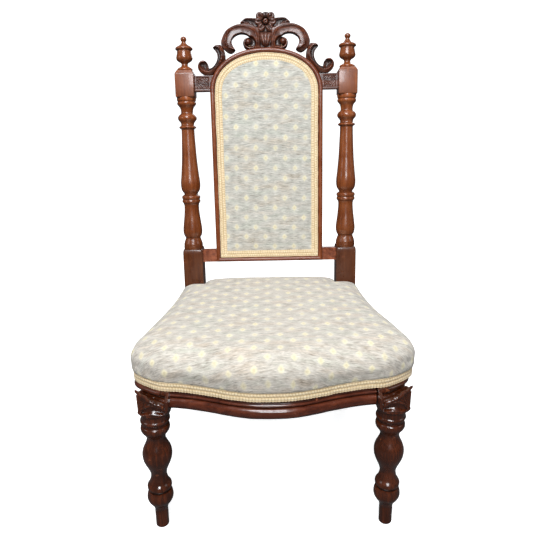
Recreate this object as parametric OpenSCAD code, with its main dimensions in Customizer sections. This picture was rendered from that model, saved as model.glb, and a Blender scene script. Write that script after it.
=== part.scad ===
// Low-seated upholstered chair with a tall framed back between two turned
// posts. Millimetres, +Z up. The chair faces -Y. The origin lies on the floor,
// in the middle of the chair's footprint.

/* [Front legs] */
// Square stock that each front leg is turned from
leg_stock = 56; // [54:0.5:57]
// Distance between the two front leg axes
leg_span = 430; // [420:1:434]
// Radius of the bare castor peg at the foot of each front leg
peg_r = 12.4; // [11:0.1:13]

/* [Back posts] */
// Distance between the two back post axes
post_span = 372; // [366:1:378]
// Backward lean of the posts and the back panel, in degrees
rake = 3.5; // [2.5:0.1:4.5]
// How far the foot of each rear leg is swept behind its straight line
sweep_back = 92; // [70:1:100]
// Side of the square post block at seat level
post_block = 47; // [45:0.5:48]
// Side of the square block under each finial
top_block = 43; // [41:0.5:44]

/* [Back panel] */
// Half of the panel frame's outer width
panel_half = 129.5; // [124:0.5:132]
// Height of the panel frame's bottom edge
panel_foot = 415; // [410:1:420]
// Width of the round bead on the frame's outer edge
bead_w = 10.5; // [8:0.5:12]
// Width of the frame timber, with the part under the upholstery
frame_w = 28; // [24:1:32]
// How far the pad stands out in front at its middle
pad_crown = 6; // [3:0.5:8]

/* [Seat] */
// Height of the underside of the seat rails
rail_foot = 252; // [250:0.5:254]
// Height of the top of the seat rails
rail_top = 306; // [304:1:310]
// Thickness of the seat rails
rail_t = 28; // [24:1:32]
// Height of the highest point of the seat
crown_z = 381; // [375:1:385]
// Number of turns in each seat spring
spring_turns = 5; // [4:1:6]
// Thickness of the spring wire
spring_wire = 3.6; // [3:0.2:4.2]
// Width of each webbing strap
web_w = 50; // [44:1:52]

/* [Trim] */
// Height of the braid round the seat
braid_w = 18; // [14:1:19]
// Width of the braid round the back panel
gimp_w = 16.5; // [14:0.5:17]
// Thickness of the cover fabric
cloth_t = 1.4; // [1:0.1:1.6]
// Thickness of the braid
braid_t = 2.4; // [1.6:0.2:2.6]

/* [Hidden] */

lx = leg_span / 2;
px = post_span / 2;
hs = leg_stock / 2;
pb = post_block / 2;
tb = top_block / 2;
tr = tan(rake);
axis_z = 453;                // height where the post axis stands at axis_y
axis_y = 408.5;
y_mid = (line_y(0) + sweep_back + 17.5 - 45 - 2.2 - braid_t) / 2;   // footprint centre, from the front leg axes
rebate_z = 286.5;            // lower edge of the tacking rebate on the seat frame
bead_v = -15.5;              // front of the panel bead, from the post axes
reb_v = -5;                  // floor of the panel's tacking rebate
back_v = 9;                  // back face of the panel frame
arch_spring = 811;
arch_rise = 96;
arch_n = 2.15;

WOOD = [0.27, 0.12, 0.07];
DARKWOOD = [0.20, 0.09, 0.06];
BEECH = [0.62, 0.48, 0.32];
CLOTH = [0.70, 0.68, 0.62];
GIMP = [0.85, 0.74, 0.52];
JUTE = [0.58, 0.45, 0.30];
HAIR = [0.30, 0.25, 0.21];
STEEL = [0.45, 0.45, 0.47];

// ---------- curve helpers ----------
function mix(a, b, t) = a + (b - a) * t;
function clamp01(t) = max(0, min(1, t));
function cr(a, b, c, d, t) =
    0.5 * (2 * b + (c - a) * t + (2 * a - 5 * b + 4 * c - d) * t * t
    + (3 * b - a - 3 * c + d) * t * t * t);
// smooth curve through P, n steps a span
function smooth(P, n) = let (m = len(P)) concat(
    [for (i = [0 : m - 2]) for (k = [0 : n - 1])
        cr(P[max(i - 1, 0)], P[i], P[i + 1], P[min(i + 2, m - 1)], k / n)],
    [P[m - 1]]);
function smooth_ring(P, n) = let (m = len(P))
    [for (i = [0 : m - 1]) for (k = [0 : n - 1])
        cr(P[(i + m - 1) % m], P[i], P[(i + 1) % m], P[(i + 2) % m], k / n)];
function flip_x(P) = [for (i = [len(P) - 1 : -1 : 0]) [-P[i][0], P[i][1]]];
// value at x on a table of [x, y], joined by straight lines
function at_x(T, x, i = 0) =
    i >= len(T) - 2 || x <= T[i + 1][0]
    ? mix(T[i][1], T[i + 1][1], (x - T[i][0]) / (T[i + 1][0] - T[i][0]))
    : at_x(T, x, i + 1);

// closed skin over a stack of rings with equal point counts, turned right side out
function tri(a, b, c) = a * cross(b, c);
function total(S) = S * [for (s = S) 1];
function skin_sum(R) = let (n = len(R[0])) total([for (j = [0 : len(R) - 2]) for (i = [0 : n - 1])
    let (k = (i + 1) % n) tri(R[j][i], R[j][k], R[j + 1][k]) + tri(R[j][i], R[j + 1][k], R[j + 1][i])]);
function cap_sum(r) = total([for (i = [1 : len(r) - 2]) tri(r[0], r[i], r[i + 1])]);
function turned(R) = [for (r = R) [for (i = [len(r) - 1 : -1 : 0]) r[i]]];
module loft(L) {
    R = skin_sum(L) + cap_sum(L[len(L) - 1]) - cap_sum(L[0]) > 0 ? turned(L) : L;
    n = len(R[0]);
    m = len(R);
    polyhedron(
        points = [for (r = R) for (p = r) p],
        faces = concat(
            [[for (i = [n - 1 : -1 : 0]) i]],
            [for (j = [0 : m - 2]) for (i = [0 : n - 1]) [j * n + i, j * n + (i + 1) % n, (j + 1) * n + (i + 1) % n]],
            [for (j = [0 : m - 2]) for (i = [0 : n - 1]) [j * n + i, (j + 1) * n + (i + 1) % n, (j + 1) * n + i]],
            [[for (i = [0 : n - 1]) (m - 1) * n + i]]));
}
// the same, with the last ring joined to the first
module loft_loop(L) {
    R = skin_sum(concat(L, [L[0]])) > 0 ? turned(L) : L;
    n = len(R[0]);
    m = len(R);
    polyhedron(
        points = [for (r = R) for (p = r) p],
        faces = [for (j = [0 : m - 1]) for (i = [0 : n - 1]) for (h = [0, 1])
            let (a = j * n + i, b = j * n + (i + 1) % n, c = ((j + 1) % m) * n + (i + 1) % n, d = ((j + 1) % m) * n + i)
            h == 0 ? [a, b, c] : [a, c, d]]);
}
module at_floor() { translate([0, -y_mid, 0]) children(); }
// x, depth, height along the raked back; depth 0 is the plane of the post axes
module back_plane() {
    at_floor() translate([0, axis_y, axis_z]) rotate([-rake, 0, 0]) translate([0, 0, -axis_z]) children();
}
module both(s) { if (s > 0) children(); else mirror([1, 0, 0]) children(); }

// ---------- seat plan ----------
// Wood line under the cover, from the middle of the front to the rear corner.
front_line = [[0, -45], [36, -43], [71, -34], [107, -21], [145, -9.5], [172, -4]];
corner_line = [[190, -1.5], [202, 2.5], [214, 9], [226, 17], [238, 26.5], [248, 37],
    [254, 50], [255.5, 66]];
side_line = [[254, 85], [250, 105], [243, 140], [235, 175], [226, 215], [218, 260],
    [212, 310], [209.5, 350], [208, 369]];
half_line = concat(front_line, corner_line, side_line);
kx = leg_span / 430;
half_plan = [for (p = smooth(half_line, 2)) [p[0] * kx, p[1]]];
front_smooth = smooth(concat(front_line, [[190, -1.5], [202, 2.5]]), 4);
side_smooth = smooth([for (p = concat([[238, 26.5]], [for (i = [5 : 7]) corner_line[i]], side_line)) [p[1], p[0]]], 3);
function front_y(x) = at_x(front_smooth, abs(x) / kx);
function side_x(y) = kx * at_x(side_smooth, y);
// closed plan outline, notched round the posts
notch_x = px - pb - 1.5;
rear_y = 404;
function seat_ring() = concat(
    half_plan,
    [[notch_x + 34, 371], [notch_x + 12, 371], [notch_x, 373], [notch_x, 388], [notch_x - 3, rear_y],
     [notch_x * 0.66, rear_y], [notch_x * 0.33, rear_y], [0, rear_y],
     [-notch_x * 0.33, rear_y], [-notch_x * 0.66, rear_y],
     [3 - notch_x, rear_y], [-notch_x, 388], [-notch_x, 373], [-notch_x - 12, 371], [-notch_x - 34, 371]],
    [for (i = [len(half_plan) - 1 : -1 : 1]) [-half_plan[i][0], half_plan[i][1]]]);
plan = seat_ring();
seat_c = [0, 175];
// plan scaled about the seat's centre, moved out by o and set at height z
function plan_at(f, z, o = 0) = [for (p = plan) let (d = p - seat_c, l = norm(d), q = seat_c + d * (f + o / l)) [q[0], q[1], z]];
function outer_plan(o) = let (n = len(half_plan)) [for (i = [0 : n - 1])
    let (a = half_plan[max(i - 1, 0)], b = half_plan[min(i + 1, n - 1)], d = (b - a) / norm(b - a))
    half_plan[i] + o * [i == 0 ? 0 : d[1], i == 0 ? -1 : -d[0]]];

// ---------- turned work ----------
// [height, radius] of the front leg under its block
leg_turn = [[41, 13], [43, 13.6], [46, 14.6], [49, 16.4], [52, 18.6], [56, 21.2], [60, 23.2], [64, 24.3],
    [68, 24.4], [72, 23.9], [76, 22.9], [79.5, 21.7]];
leg_ring = [[84.5, 20.8], [87, 21.8], [90, 22.1], [93, 21.6], [96, 20.4], [100, 18.6], [104, 16.8],
    [108, 15.5], [112, 14.8], [116, 14.8], [120, 15.5], [125, 17], [130, 19], [136, 21.7],
    [142, 24.2], [148, 26.1], [154, 27], [160, 27.2], [166, 26.4], [172, 24.5], [177, 22.2],
    [182, 19.8], [187, 17.9], [191, 17.2], [195, 17.6], [198, 18.8], [200.5, 20.2]];
leg_top = [[203, 21.4], [206, 24], [209, 25.8], [213, 26.6], [216.5, 26.2], [219, 24.8]];
leg_cap = [[224.5, 24.2], [226.6, 26.2], [229.4, 26.9], [232, 26.4], [233.6, 25]];
module front_leg(s) {
    k = leg_stock / 56;
    both(s) at_floor() translate([lx, 0, 0]) difference() {
        union() {
            rotate_extrude($fn = 48) polygon([[0, 0], [peg_r - 1, 0], [peg_r, 1.5], [peg_r, 39], [0, 39]]);
            rotate_extrude($fn = 48) polygon(concat([[0, 39], [peg_r, 39]],
                [for (p = smooth(leg_turn, 2)) [p[1] * k, p[0]]], [[20.4 * k, 80.5], [20.4 * k, 83.5]],
                [for (p = smooth(leg_ring, 2)) [p[1] * k, p[0]]],
                [for (p = smooth(leg_top, 2)) [p[1] * k, p[0]]],
                [[22.6 * k, 220.5], [22.4 * k, 224]],
                [for (p = smooth(leg_cap, 2)) [p[1] * k, p[0]]], [[24.6 * k, 235], [0, 235]]));
            intersection() {
                translate([-hs, -hs, 235]) cube([leg_stock, leg_stock, rail_top - 235]);
                rotate_extrude($fn = 64) polygon([[0, 235], [24.6 * k, 235], [25 * k, 242.5], [26.2 * k, 244.4],
                    [29 * k, 245.8], [33 * k, 248], [36.4 * k, 251.4], [38.8 * k, 255], [40 * k, 259],
                    [41 * k, 262], [41 * k, rail_top], [0, rail_top]]);
            }
        }
        // shelf for the cover and its braid along the seat line
        translate([-lx, 0, rebate_z]) linear_extrude(40) difference() {
            intersection() {
                translate([lx - 60, -60]) square([150, 120]);
                union() {
                    translate([lx - 30, 72]) circle(r = 83, $fn = 96);
                    translate([lx - 60, -60]) square([60 - hs + 7, 90]);
                }
            }
            polygon(concat([[0, 200]], half_plan));
        }
        // dished top in front of the plain band, rising to a leaf tip at the outer corner
        intersection() {
            translate([7 - hs, -60, 240]) cube([100, 120, 80]);
            translate([-30, 72, 0]) rotate_extrude($fn = 96) polygon([[79.5, 330], [79.5, 277], [83, 271.5], [89, 270.5],
                [96, 274], [103, 280.5], [110, 290], [115.5, 300.5], [122, 312], [122, 330]]);
        }
        // sunk field on the front face, under the leaf
        translate([-hs + 8, -hs - 1, 0]) rotate([90, 0, 90]) linear_extrude(hs * 2 - 14) polygon([[0, 251], [1, 252], [6, 257.5], [6, 262], [1, 267], [0, 268]]);
        // mortises for the front and side rails
        translate([-hs - 1, 2, 262]) cube([23, 12, 22]);
        translate([2, hs - 14, 262]) cube([14, 15, 22]);
    }
}
module leg_piece(s) { color(DARKWOOD) front_leg(s); }
module front_leg_left() { leg_piece(-1); }
module front_leg_right() { leg_piece(1); }

// side outline of the rear leg under the raked post
function line_y(z) = axis_y + (z - axis_z) * tr;
function leg_y(z) = line_y(z) + sweep_back * pow((250 - z) / 250, 1.75);
function leg_half(z) = mix(17.5, pb, pow(z / 250, 0.8));
// [height, radius] of the turned column, from the lower block to the upper one
col_foot = [[450, 22.9], [454, 23], [457, 22.6], [460, 22.6], [463, 22], [466, 21]];
col_a = [[468.5, 20.3], [471, 19.2], [474, 18.2], [476.5, 18.2], [478, 19.2], [480, 20.6], [484, 21.8],
    [488, 22.7], [492, 23], [496, 22.9], [502, 22.4], [508, 21.6], [516, 20.6], [524, 19.5], [532, 18.6],
    [540, 17.9], [547, 17.5], [552, 17.4], [556, 17.8], [558.5, 18.6]];
col_b = [[560, 19.6], [562, 21.2], [564.5, 21.7], [567, 21], [568.5, 20.2]];
col_c = [[569.5, 20.4], [571.5, 21.6], [574, 21.8], [576.5, 21.2], [578, 19.2]];
col_d = [[580, 15.9], [582.5, 16.3], [585, 17.8], [588, 20], [592, 21.7], [598, 22.7], [604, 23],
    [610, 22.8], [618, 22], [626, 21], [636, 20.1], [648, 19], [660, 18], [672, 17.3], [684, 16.7],
    [700, 16], [714, 15.4], [726, 15.1], [731, 15.1]];
col_e = [[732.5, 16], [734, 18.6], [736, 20.1], [738, 18.8], [739.5, 16]];
col_f = [[741, 15.2], [744, 15.1], [747, 16.2], [750, 18.6], [753, 21], [756.5, 21.9], [760, 21.2],
    [763.5, 18.9], [766, 15.8], [768.5, 14], [772, 14], [776, 14.5], [780, 15.7], [783, 17.8], [785.5, 20]];
col_g = [[787, 21.2], [789.5, 21.9], [792, 21.4], [793, 20.5]];
col_h = [[794.5, 20.6], [796.5, 21.8], [799.5, 22.1], [803, 22.1]];
column = concat(smooth(col_foot, 2), smooth(col_a, 2), smooth(col_b, 2), smooth(col_c, 2), smooth(col_d, 2),
    smooth(col_e, 2), smooth(col_f, 2), smooth(col_g, 2), smooth(col_h, 2));
block_foot = 803;
block_top = 858;
block_side = [[-tb, block_foot], [tb, block_foot], [tb, block_top - 4], [tb - 5, block_top + 4],
    [5 - tb, block_top + 4], [-tb, block_top - 4]];
module back_post(s) {
    both(s) {
        difference() {
            union() {
                // rear leg, swept back, in one piece with the block at seat level
                at_floor() intersection() {
                    translate([px - pb, 0, 0]) rotate([90, 0, 90]) linear_extrude(post_block) polygon(concat(
                        [for (i = [0 : 14]) let (z = i * 250 / 14) [leg_y(z) - leg_half(z), z]],
                        [[line_y(449) - pb / cos(rake), 449], [line_y(449) + pb / cos(rake), 449]],
                        [for (i = [14 : -1 : 0]) let (z = i * 250 / 14) [leg_y(z) + leg_half(z), z]]));
                    translate([0, 700, 0]) rotate([90, 0, 0]) linear_extrude(600) polygon([
                        [px - 18, 0], [px - 20, 110], [px - pb, 240], [px - pb, 460],
                        [px + pb, 460], [px + pb, 240], [px + 20, 110], [px + 18, 0]]);
                }
                back_plane() translate([px, 0, 0]) {
                    rotate_extrude($fn = 48) polygon(concat([[0, 440]], [[22.9, 440]],
                        [for (p = column) [p[1], p[0]]], [[0, 803]]));
                    intersection() {
                        rotate([90, 0, 0]) translate([0, 0, -tb]) linear_extrude(top_block) polygon(block_side);
                        rotate([90, 0, 90]) translate([0, 0, -tb]) linear_extrude(top_block) polygon(block_side);
                    }
                }
            }
            // socket for the finial's spigot
            back_plane() translate([px, 0, block_top - 22]) cylinder(r = 6, h = 40, $fn = 32);
            // mortises for the stub rails
            back_plane() {
                translate([px - tb - 1, -4, 820]) cube([16, 10, 24]);
                translate([px - pb - 1, -4, 420]) cube([18, 10, 20]);
            }
            // mortises for the side and rear rails
            at_floor() {
                translate([px - 1, 365, 262]) cube([12, 27, 34]);
                translate([px - pb - 1, 392, 262]) cube([19, 12, 34]);
            }
        }
    }
}
module back_post_left() { color(WOOD) back_post(-1); }
module back_post_right() { color(WOOD) back_post(1); }

finial_turn = [[862, 17.2], [864, 17.6], [866, 17], [868, 14], [870, 10], [872, 8], [875, 7.2], [877, 7.6],
    [879, 9.4], [881, 13], [883.5, 16.4], [886.5, 18.2], [890, 18.6], [894, 17.8], [899, 16.6], [903, 16],
    [905, 16.1], [906.3, 17.4]];
finial_lid = [[907, 18.8], [908.5, 19.7], [910.5, 19.5], [912.5, 17.8], [914.5, 14], [916.5, 10.4], [919, 7.4],
    [921.5, 5.4], [923.5, 4.6], [925, 4.8], [926.3, 5.8], [928, 6.6], [930, 6.9], [932, 6.4], [934, 4.6], [935.3, 2]];
module finial(s) {
    both(s) back_plane() translate([px, 0, 0]) {
        rotate_extrude($fn = 48) polygon(concat([[0, 862]], [for (p = smooth(finial_turn, 2)) [p[1], p[0]]],
            [for (p = smooth(finial_lid, 2)) [p[1], p[0]]], [[0, 935.8]]));
        translate([0, 0, block_top - 20]) cylinder(r = 6, h = 26, $fn = 32);
    }
}
module finial_left() { color(WOOD) finial(-1); }
module finial_right() { color(WOOD) finial(1); }

// ---------- seat frame ----------
// moulded face of the front rail: [distance in from the wood line, height]
rail_face = [[0, rail_top], [0, rebate_z + 0.2], [0.4, 285.5], [1.6, 283], [1.4, 280.5], [-0.6, 279.6], [-2, 278], [-1.8, 276],
    [0.6, 274.8], [4.2, 273.6], [4, 272.4], [0.4, 271.6], [-3, 269], [-4.8, 265], [-5, 260.5], [-3.6, 256], [-0.4, 252], [4, 250], [9, rail_foot]];
function rail_in(x) = min(24, front_y(x) + rail_t);
// ring moved out onto an oval round c, in the plane that the ring lies in
function oval(r, c, ry, rz) = [for (p = r) let (d = [p[1] - c[0], p[2] - c[1]], a = atan2(d[1], d[0]))
    [p[0], c[0] + ry * cos(a), c[1] + rz * sin(a)]];
function move_x(r, x) = [for (p = r) [x, p[1], p[2]]];
module front_seat_rail() {
    n = 40;
    w = lx - hs;
    R = [for (i = [0 : n]) let (x = mix(-w, w, i / n), y = front_y(x))
        concat([for (p = rail_face) [x, y + p[0], p[1]]], [[x, rail_in(x), rail_foot], [x, rail_in(x), rail_top]])];
    A = oval(R[0], [8, 273], 5, 10);
    B = oval(R[n], [8, 273], 5, 10);
    color(DARKWOOD) at_floor() loft(concat([move_x(A, -w - 21), A], R, [B, move_x(B, w + 21)]));
}
// side rail: straight below, a shaped band over it and a rebate for the cover;
// the rear end fits the raked post
function side_outer() = [for (i = [0 : 12]) let (y = mix(hs, 358, i / 12)) [side_x(y), y]];
function side_inner() = [for (i = [8 : -1 : 0]) let (y = mix(hs, 372, i / 8)) [mix(lx - 2, px - 5, i / 8), y]];
module side_seat_rail(s) {
    color(DARKWOOD) both(s) at_floor() {
        difference() {
            union() {
                translate([0, 0, rail_foot]) linear_extrude(277 - rail_foot)
                    polygon(concat([[lx + 19, hs], [lx + 17.5, 90]], [[px + pb - 0.5, 372], [px + pb - 0.5, 384]], [[px - 5, 384]], side_inner()));
                translate([0, 0, 277]) linear_extrude(rebate_z - 277)
                    polygon(concat([for (p = side_outer()) [min(p[0] + 1.8, p[1] < hs + 1 ? lx + hs : 999), p[1]]], [[px + pb - 0.5, 372], [px + pb - 0.5, 384]], [[px - 5, 384]], side_inner()));
                translate([0, 0, rebate_z]) linear_extrude(rail_top - rebate_z)
                    polygon(concat([for (p = side_outer()) [min(p[0], p[1] < hs + 1 ? lx + hs : 999), p[1]]], [[px + pb - 0.8, 372], [px + pb - 0.8, 384]], [[px - 5, 384]], side_inner()));
            }
            translate([0, line_y(280) - pb / cos(rake), 280]) rotate([-rake, 0, 0]) translate([px - 60, 0, -80]) cube([140, 80, 160]);
        }
        translate([lx + 3, hs - 13, 263]) cube([12, 14, 20]);
        translate([px, 366, 263]) cube([10, 25, 32]);
    }
}
module side_seat_rail_left() { side_seat_rail(-1); }
module side_seat_rail_right() { side_seat_rail(1); }
module rear_seat_rail() {
    color(WOOD) at_floor() {
        translate([-(px - pb), 384, rail_foot]) cube([2 * (px - pb), 24, rail_top - rail_foot]);
        for (s = [-1, 1]) translate([s > 0 ? px - pb - 0.5 : -(px - pb) - 17, 393, 263]) cube([17.5, 10, 32]);
    }
}
// triangular braces glued and screwed into the corners of the seat frame
module brace_front(s) {
    color(BEECH) both(s) at_floor() translate([0, 0, 262]) linear_extrude(28) polygon([
        [lx - 68, 25.2], [lx - hs - 1, 25.2], [lx - hs - 1, hs + 1], [lx - 3, hs + 1], [lx - 3.5, 70]]);
}
module brace_rear(s) {
    color(BEECH) both(s) at_floor() translate([0, 0, 262]) linear_extrude(28) polygon([
        [px - pb - 44, 383.4], [px - pb - 1, 383.4], [px - pb - 1, 371], [px - 8, 371], [px - 6, 330]]);
}
module corner_brace_front_left() { brace_front(-1); }
module corner_brace_front_right() { brace_front(1); }
module corner_brace_rear_left() { brace_rear(-1); }
module corner_brace_rear_right() { brace_rear(1); }
// one countersunk wood screw, head at the origin, point along +Z
module wood_screw(l) {
    rotate_extrude($fn = 24) polygon([[0, -2.2], [2.8, -1.7], [4.2, -0.4], [4.2, 0], [2, 2.4], [2, l - 6], [0, l]]);
}
module brace_screws() {
    color(STEEL) for (s = [-1, 1]) both(s) at_floor() {
        translate([lx - 50, 33.6, 276]) rotate([90, 0, 0]) wood_screw(28);
        translate([lx - 12, 60, 276]) rotate([0, 90, 0]) wood_screw(28);
        translate([px - pb - 24, 370, 276]) rotate([-90, 0, 0]) wood_screw(28);
        translate([px - 16, 350, 276]) rotate([0, 90, 0]) wood_screw(28);
    }
}

// ---------- back panel ----------
// point on the arch's outer edge, set in by s along the normal
function arch_xz(a, s) = let (c = cos(a), n = sin(a),
        x = panel_half * sign(c) * pow(abs(c), 2 / arch_n), z = arch_rise * pow(abs(n), 2 / arch_n),
        gx = sign(c) * pow(abs(x) / panel_half, arch_n - 1) / panel_half, gz = pow(z / arch_rise, arch_n - 1) / arch_rise,
        g = norm([gx, gz]))
    [x - s * gx / g, arch_spring + z - s * gz / g];
arch_steps = 36;
function arch_line(s) = [for (i = [0 : arch_steps]) arch_xz(i * 180 / arch_steps, s)];
// whole panel outline, set in by s, starting at the lower right corner
function panel_ring(s) = concat([[panel_half - s, panel_foot + s], [panel_half - s, 520], [panel_half - s, 620], [panel_half - s, 720]],
    arch_line(s), [[s - panel_half, 720], [s - panel_half, 620], [s - panel_half, 520], [s - panel_half, panel_foot + s],
    [0, panel_foot + s]]);
function panel_at(s, v) = [for (p = panel_ring(s)) [p[0], v, p[1]]];
// section of the frame timber: [set in from the edge, depth]
frame_sec = [[0, back_v], [0, -9], [0.8, -12.4], [2.8, -14.8], [bead_w / 2, bead_v], [bead_w - 2.6, -14.8],
    [bead_w - 0.6, -12.2], [bead_w, -9], [bead_w, reb_v], [frame_w, reb_v], [frame_w, back_v]];
module panel_arch() {
    color(WOOD) back_plane() difference() {
        loft([for (i = [0 : arch_steps]) [for (k = [len(frame_sec) - 1 : -1 : 0]) let (q = arch_xz(i * 180 / arch_steps, frame_sec[k][0])) [q[0], frame_sec[k][1], q[1]]]]);
        dowel_set();
    }
}
module mitre(e) {
    rotate([90, 0, 0]) translate([0, 0, -40]) linear_extrude(80) polygon([
        [e * (panel_half + 10), panel_foot - 10], [e * (panel_half - 45), panel_foot + 45], [e * (panel_half - 45), panel_foot - 10]]);
}
module stile(s) {
    color(WOOD) both(s) back_plane() difference() {
        translate([0, 0, panel_foot]) linear_extrude(arch_spring - panel_foot) polygon([for (p = frame_sec) [panel_half - p[0], p[1]]]);
        mitre(1);
        translate([panel_half - 16, -4, 420]) cube([20, 10, 20]);
    }
}
module panel_stile_left() { stile(-1); }
module panel_stile_right() { stile(1); }
module panel_sill() {
    color(WOOD) back_plane() difference() {
        translate([-panel_half, 0, panel_foot]) rotate([90, 0, 90]) linear_extrude(2 * panel_half) polygon([for (p = frame_sec) [p[1], p[0]]]);
        for (e = [-1, 1]) rotate([90, 0, 0]) translate([0, 0, -40]) linear_extrude(80) polygon([
            [e * (panel_half + 10), panel_foot - 10], [e * (panel_half - 45), panel_foot + 45], [e * (panel_half + 10), panel_foot + 45]]);
    }
}
// short rails that hang the panel between the posts
module upper_stub(s) {
    color(WOOD) both(s) back_plane() difference() {
        union() {
            translate([60, -8, 815]) cube([px - tb - 60, 18, 35]);
            translate([px - tb - 0.5, -3.5, 821]) cube([14.5, 9, 22]);
        }
        rotate([90, 0, 0]) translate([0, 0, -40]) linear_extrude(80) polygon(concat(
            [[panel_half, 700]], arch_line(0), [[-panel_half, 700]]));
    }
}
module lower_stub(s) {
    color(WOOD) both(s) back_plane() {
        translate([panel_half, -8, 415]) cube([px - pb - panel_half, 18, 30]);
        translate([px - pb - 0.5, -3.5, 421]) cube([16.5, 9, 18]);
        translate([panel_half - 15, -3.5, 421]) cube([15.5, 9, 18]);
    }
}
module upper_stub_rail_left() { upper_stub(-1); }
module upper_stub_rail_right() { upper_stub(1); }
module lower_stub_rail_left() { lower_stub(-1); }
module lower_stub_rail_right() { lower_stub(1); }

// ---------- crest ----------
module slab(v0, v1, P) { translate([0, v1, 0]) rotate([90, 0, 0]) linear_extrude(v1 - v0) polygon(P); }
// outline of the right-hand scroll, from its root over the top to the curl
scroll_out = [[14, 944], [24, 952], [34, 956], [45, 958], [55, 957.5], [66, 956], [77, 951.5], [87, 945], [94, 936.5],
    [98.5, 927], [100.5, 919], [98.5, 910.5], [93, 904], [86, 899], [79.5, 897], [73, 899], [69, 904],
    [72, 909], [74.5, 914.5], [76.5, 921], [74.5, 928], [68.5, 934], [60, 937.5], [51, 938], [43, 935.5], [37.5, 931],
    [42, 929], [47, 926], [50.5, 921], [51, 915], [48, 909], [42, 905], [36, 901], [24, 901], [17, 912], [15.5, 922], [14, 933]];
module crest_carving() {
    color(WOOD) back_plane() difference() {
        union() {
            for (s = [-1, 1]) both(s) slab(-13, 8, smooth_ring(scroll_out, 2));
            slab(-10, 8, [[-18, 902], [18, 902], [17, 930], [20, 950], [8, 956], [-8, 956], [-20, 950], [-17, 930]]);
        }
        rotate([90, 0, 0]) translate([0, 0, -40]) linear_extrude(80) polygon(concat(
            [[panel_half, 700]], arch_line(0), [[-panel_half, 700]]));
        dowel_set();
    }
}
// six-lobed flower head on the crest
module crest_flower() {
    color(WOOD) back_plane() translate([0.5, 0, 963]) rotate([90, 0, 0]) {
        for (q = [[-8, -12, 9], [8, -12, 9], [-14, 0, 9], [14, 0, 9], [-11, 10, 9.5], [11, 10, 9.5]])
            translate([q[0], q[1], 4]) cylinder(r = q[2], h = 12, $fn = 32);
        translate([0, 9, 2]) cylinder(r = 11.5, h = 10, $fn = 32);
        translate([0, 0, -2]) cylinder(r = 12, h = 16, $fn = 32);
        translate([0, 0, 4]) cylinder(r = 5.5, h = 16, $fn = 32);
    }
}
leaf_out = [[12, 952], [17, 946], [28, 949.5], [40, 956.5], [49, 959], [56, 960], [53, 966], [44, 970.5], [32, 970], [22, 969], [12, 966]];
module crest_leaf(s) { color(WOOD) both(s) back_plane() slab(-4, 7, smooth_ring(leaf_out, 2)); }
module crest_leaf_left() { crest_leaf(-1); }
module crest_leaf_right() { crest_leaf(1); }
wing_out = [[101, 914], [96, 907.5], [92.5, 900], [91.5, 893], [91, 884], [94, 870], [104, 856], [116, 846], [128, 850.4],
    [140, 851], [149, 856], [154, 862.5], [155, 870], [152, 877], [146, 881.5], [139, 881], [133, 877], [131, 871],
    [128, 866.5], [118, 871.5], [113, 879], [110, 887.5], [110.5, 895], [113.5, 902], [119, 908], [114, 913], [107, 915]];
module crest_wing(s) {
    color(WOOD) both(s) back_plane() difference() {
        slab(-12, 7, smooth_ring(wing_out, 2));
        rotate([90, 0, 0]) translate([0, 0, -40]) linear_extrude(80) polygon(concat(
            [[panel_half, 700]], arch_line(0), [[-panel_half, 700]]));
        translate([60, -30, 800]) cube([120, 60, 50]);
        slab(-30, 30, smooth_ring(scroll_out, 2));
        dowel_set();
    }
}
module crest_wing_left() { crest_wing(-1); }
module crest_wing_right() { crest_wing(1); }
module dowel_set() {
    for (s = [-1, 1]) {
        translate([s * 36, -1, 893]) cylinder(r = 4, h = 20, $fn = 24);
        translate([s * 9, -1, 893]) cylinder(r = 4, h = 30, $fn = 24);
        translate([s * 103, -1, 860]) rotate([0, s * 52, 0]) cylinder(r = 3, h = 16, $fn = 24);
    }
}
module crest_dowels() { color(BEECH) back_plane() dowel_set(); }

// ---------- seat upholstery ----------
web_x = [-118, -59, 0, 59, 118];
web_y = [58, 120, 182, 244, 306];
web_t = 1.2;
module seat_webbing() {
    color(JUTE) at_floor() {
        for (x = web_x) let (y0 = front_y(x) + 14)
            translate([x - web_w / 2, y0, rail_foot - web_t]) cube([web_w, 398 - y0, web_t]);
        for (y = web_y) let (w = side_x(y) - 14)
            translate([-w, y - web_w / 2, rail_foot - 2 * web_t]) cube([2 * w, web_w, web_t]);
    }
}
module tack() { translate([0, 0, -1]) cylinder(r = 3.4, h = 1, $fn = 16); }
module webbing_tacks() {
    color(STEEL) at_floor() {
        for (x = web_x) for (t = [-0.36, 0, 0.36]) {
            translate([x + t * web_w, front_y(x) + 19 + abs(t) * 8, rail_foot - web_t]) tack();
            translate([x + t * web_w, 393 - abs(t) * 8, rail_foot - web_t]) tack();
        }
        for (y = web_y) for (t = [-0.36, 0, 0.36]) for (s = [-1, 1])
            translate([s * (side_x(y) - 20 - abs(t) * 8), y + t * web_w, rail_foot - 2 * web_t]) tack();
    }
}
// waisted coil spring as one swept wire
spring_at = [[-86, 112], [86, 112], [0, 182], [-80, 256], [80, 256]];
spring_top = 316;
function coil_pt(a, n) = let (t = a / (360 * n)) [(33 - 10 * sin(180 * t)) * cos(a), (33 - 10 * sin(180 * t)) * sin(a),
    rail_foot + spring_wire / 2 + 0.2 + (spring_top - rail_foot - spring_wire) * clamp01((t * n - 0.6) / (n - 1.2))];
module coil(n) {
    m = n * 14;
    loft([for (i = [0 : m]) let (a = i * 360 / 14, p = coil_pt(a, n)) [for (k = [0 : 4])
        let (b = k * 72) p + spring_wire / 2 * [cos(b) * cos(a), cos(b) * sin(a), sin(b)]]]);
}
module seat_springs() { color(STEEL) at_floor() for (q = spring_at) translate([q[0], q[1], 0]) coil(spring_turns); }
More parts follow.
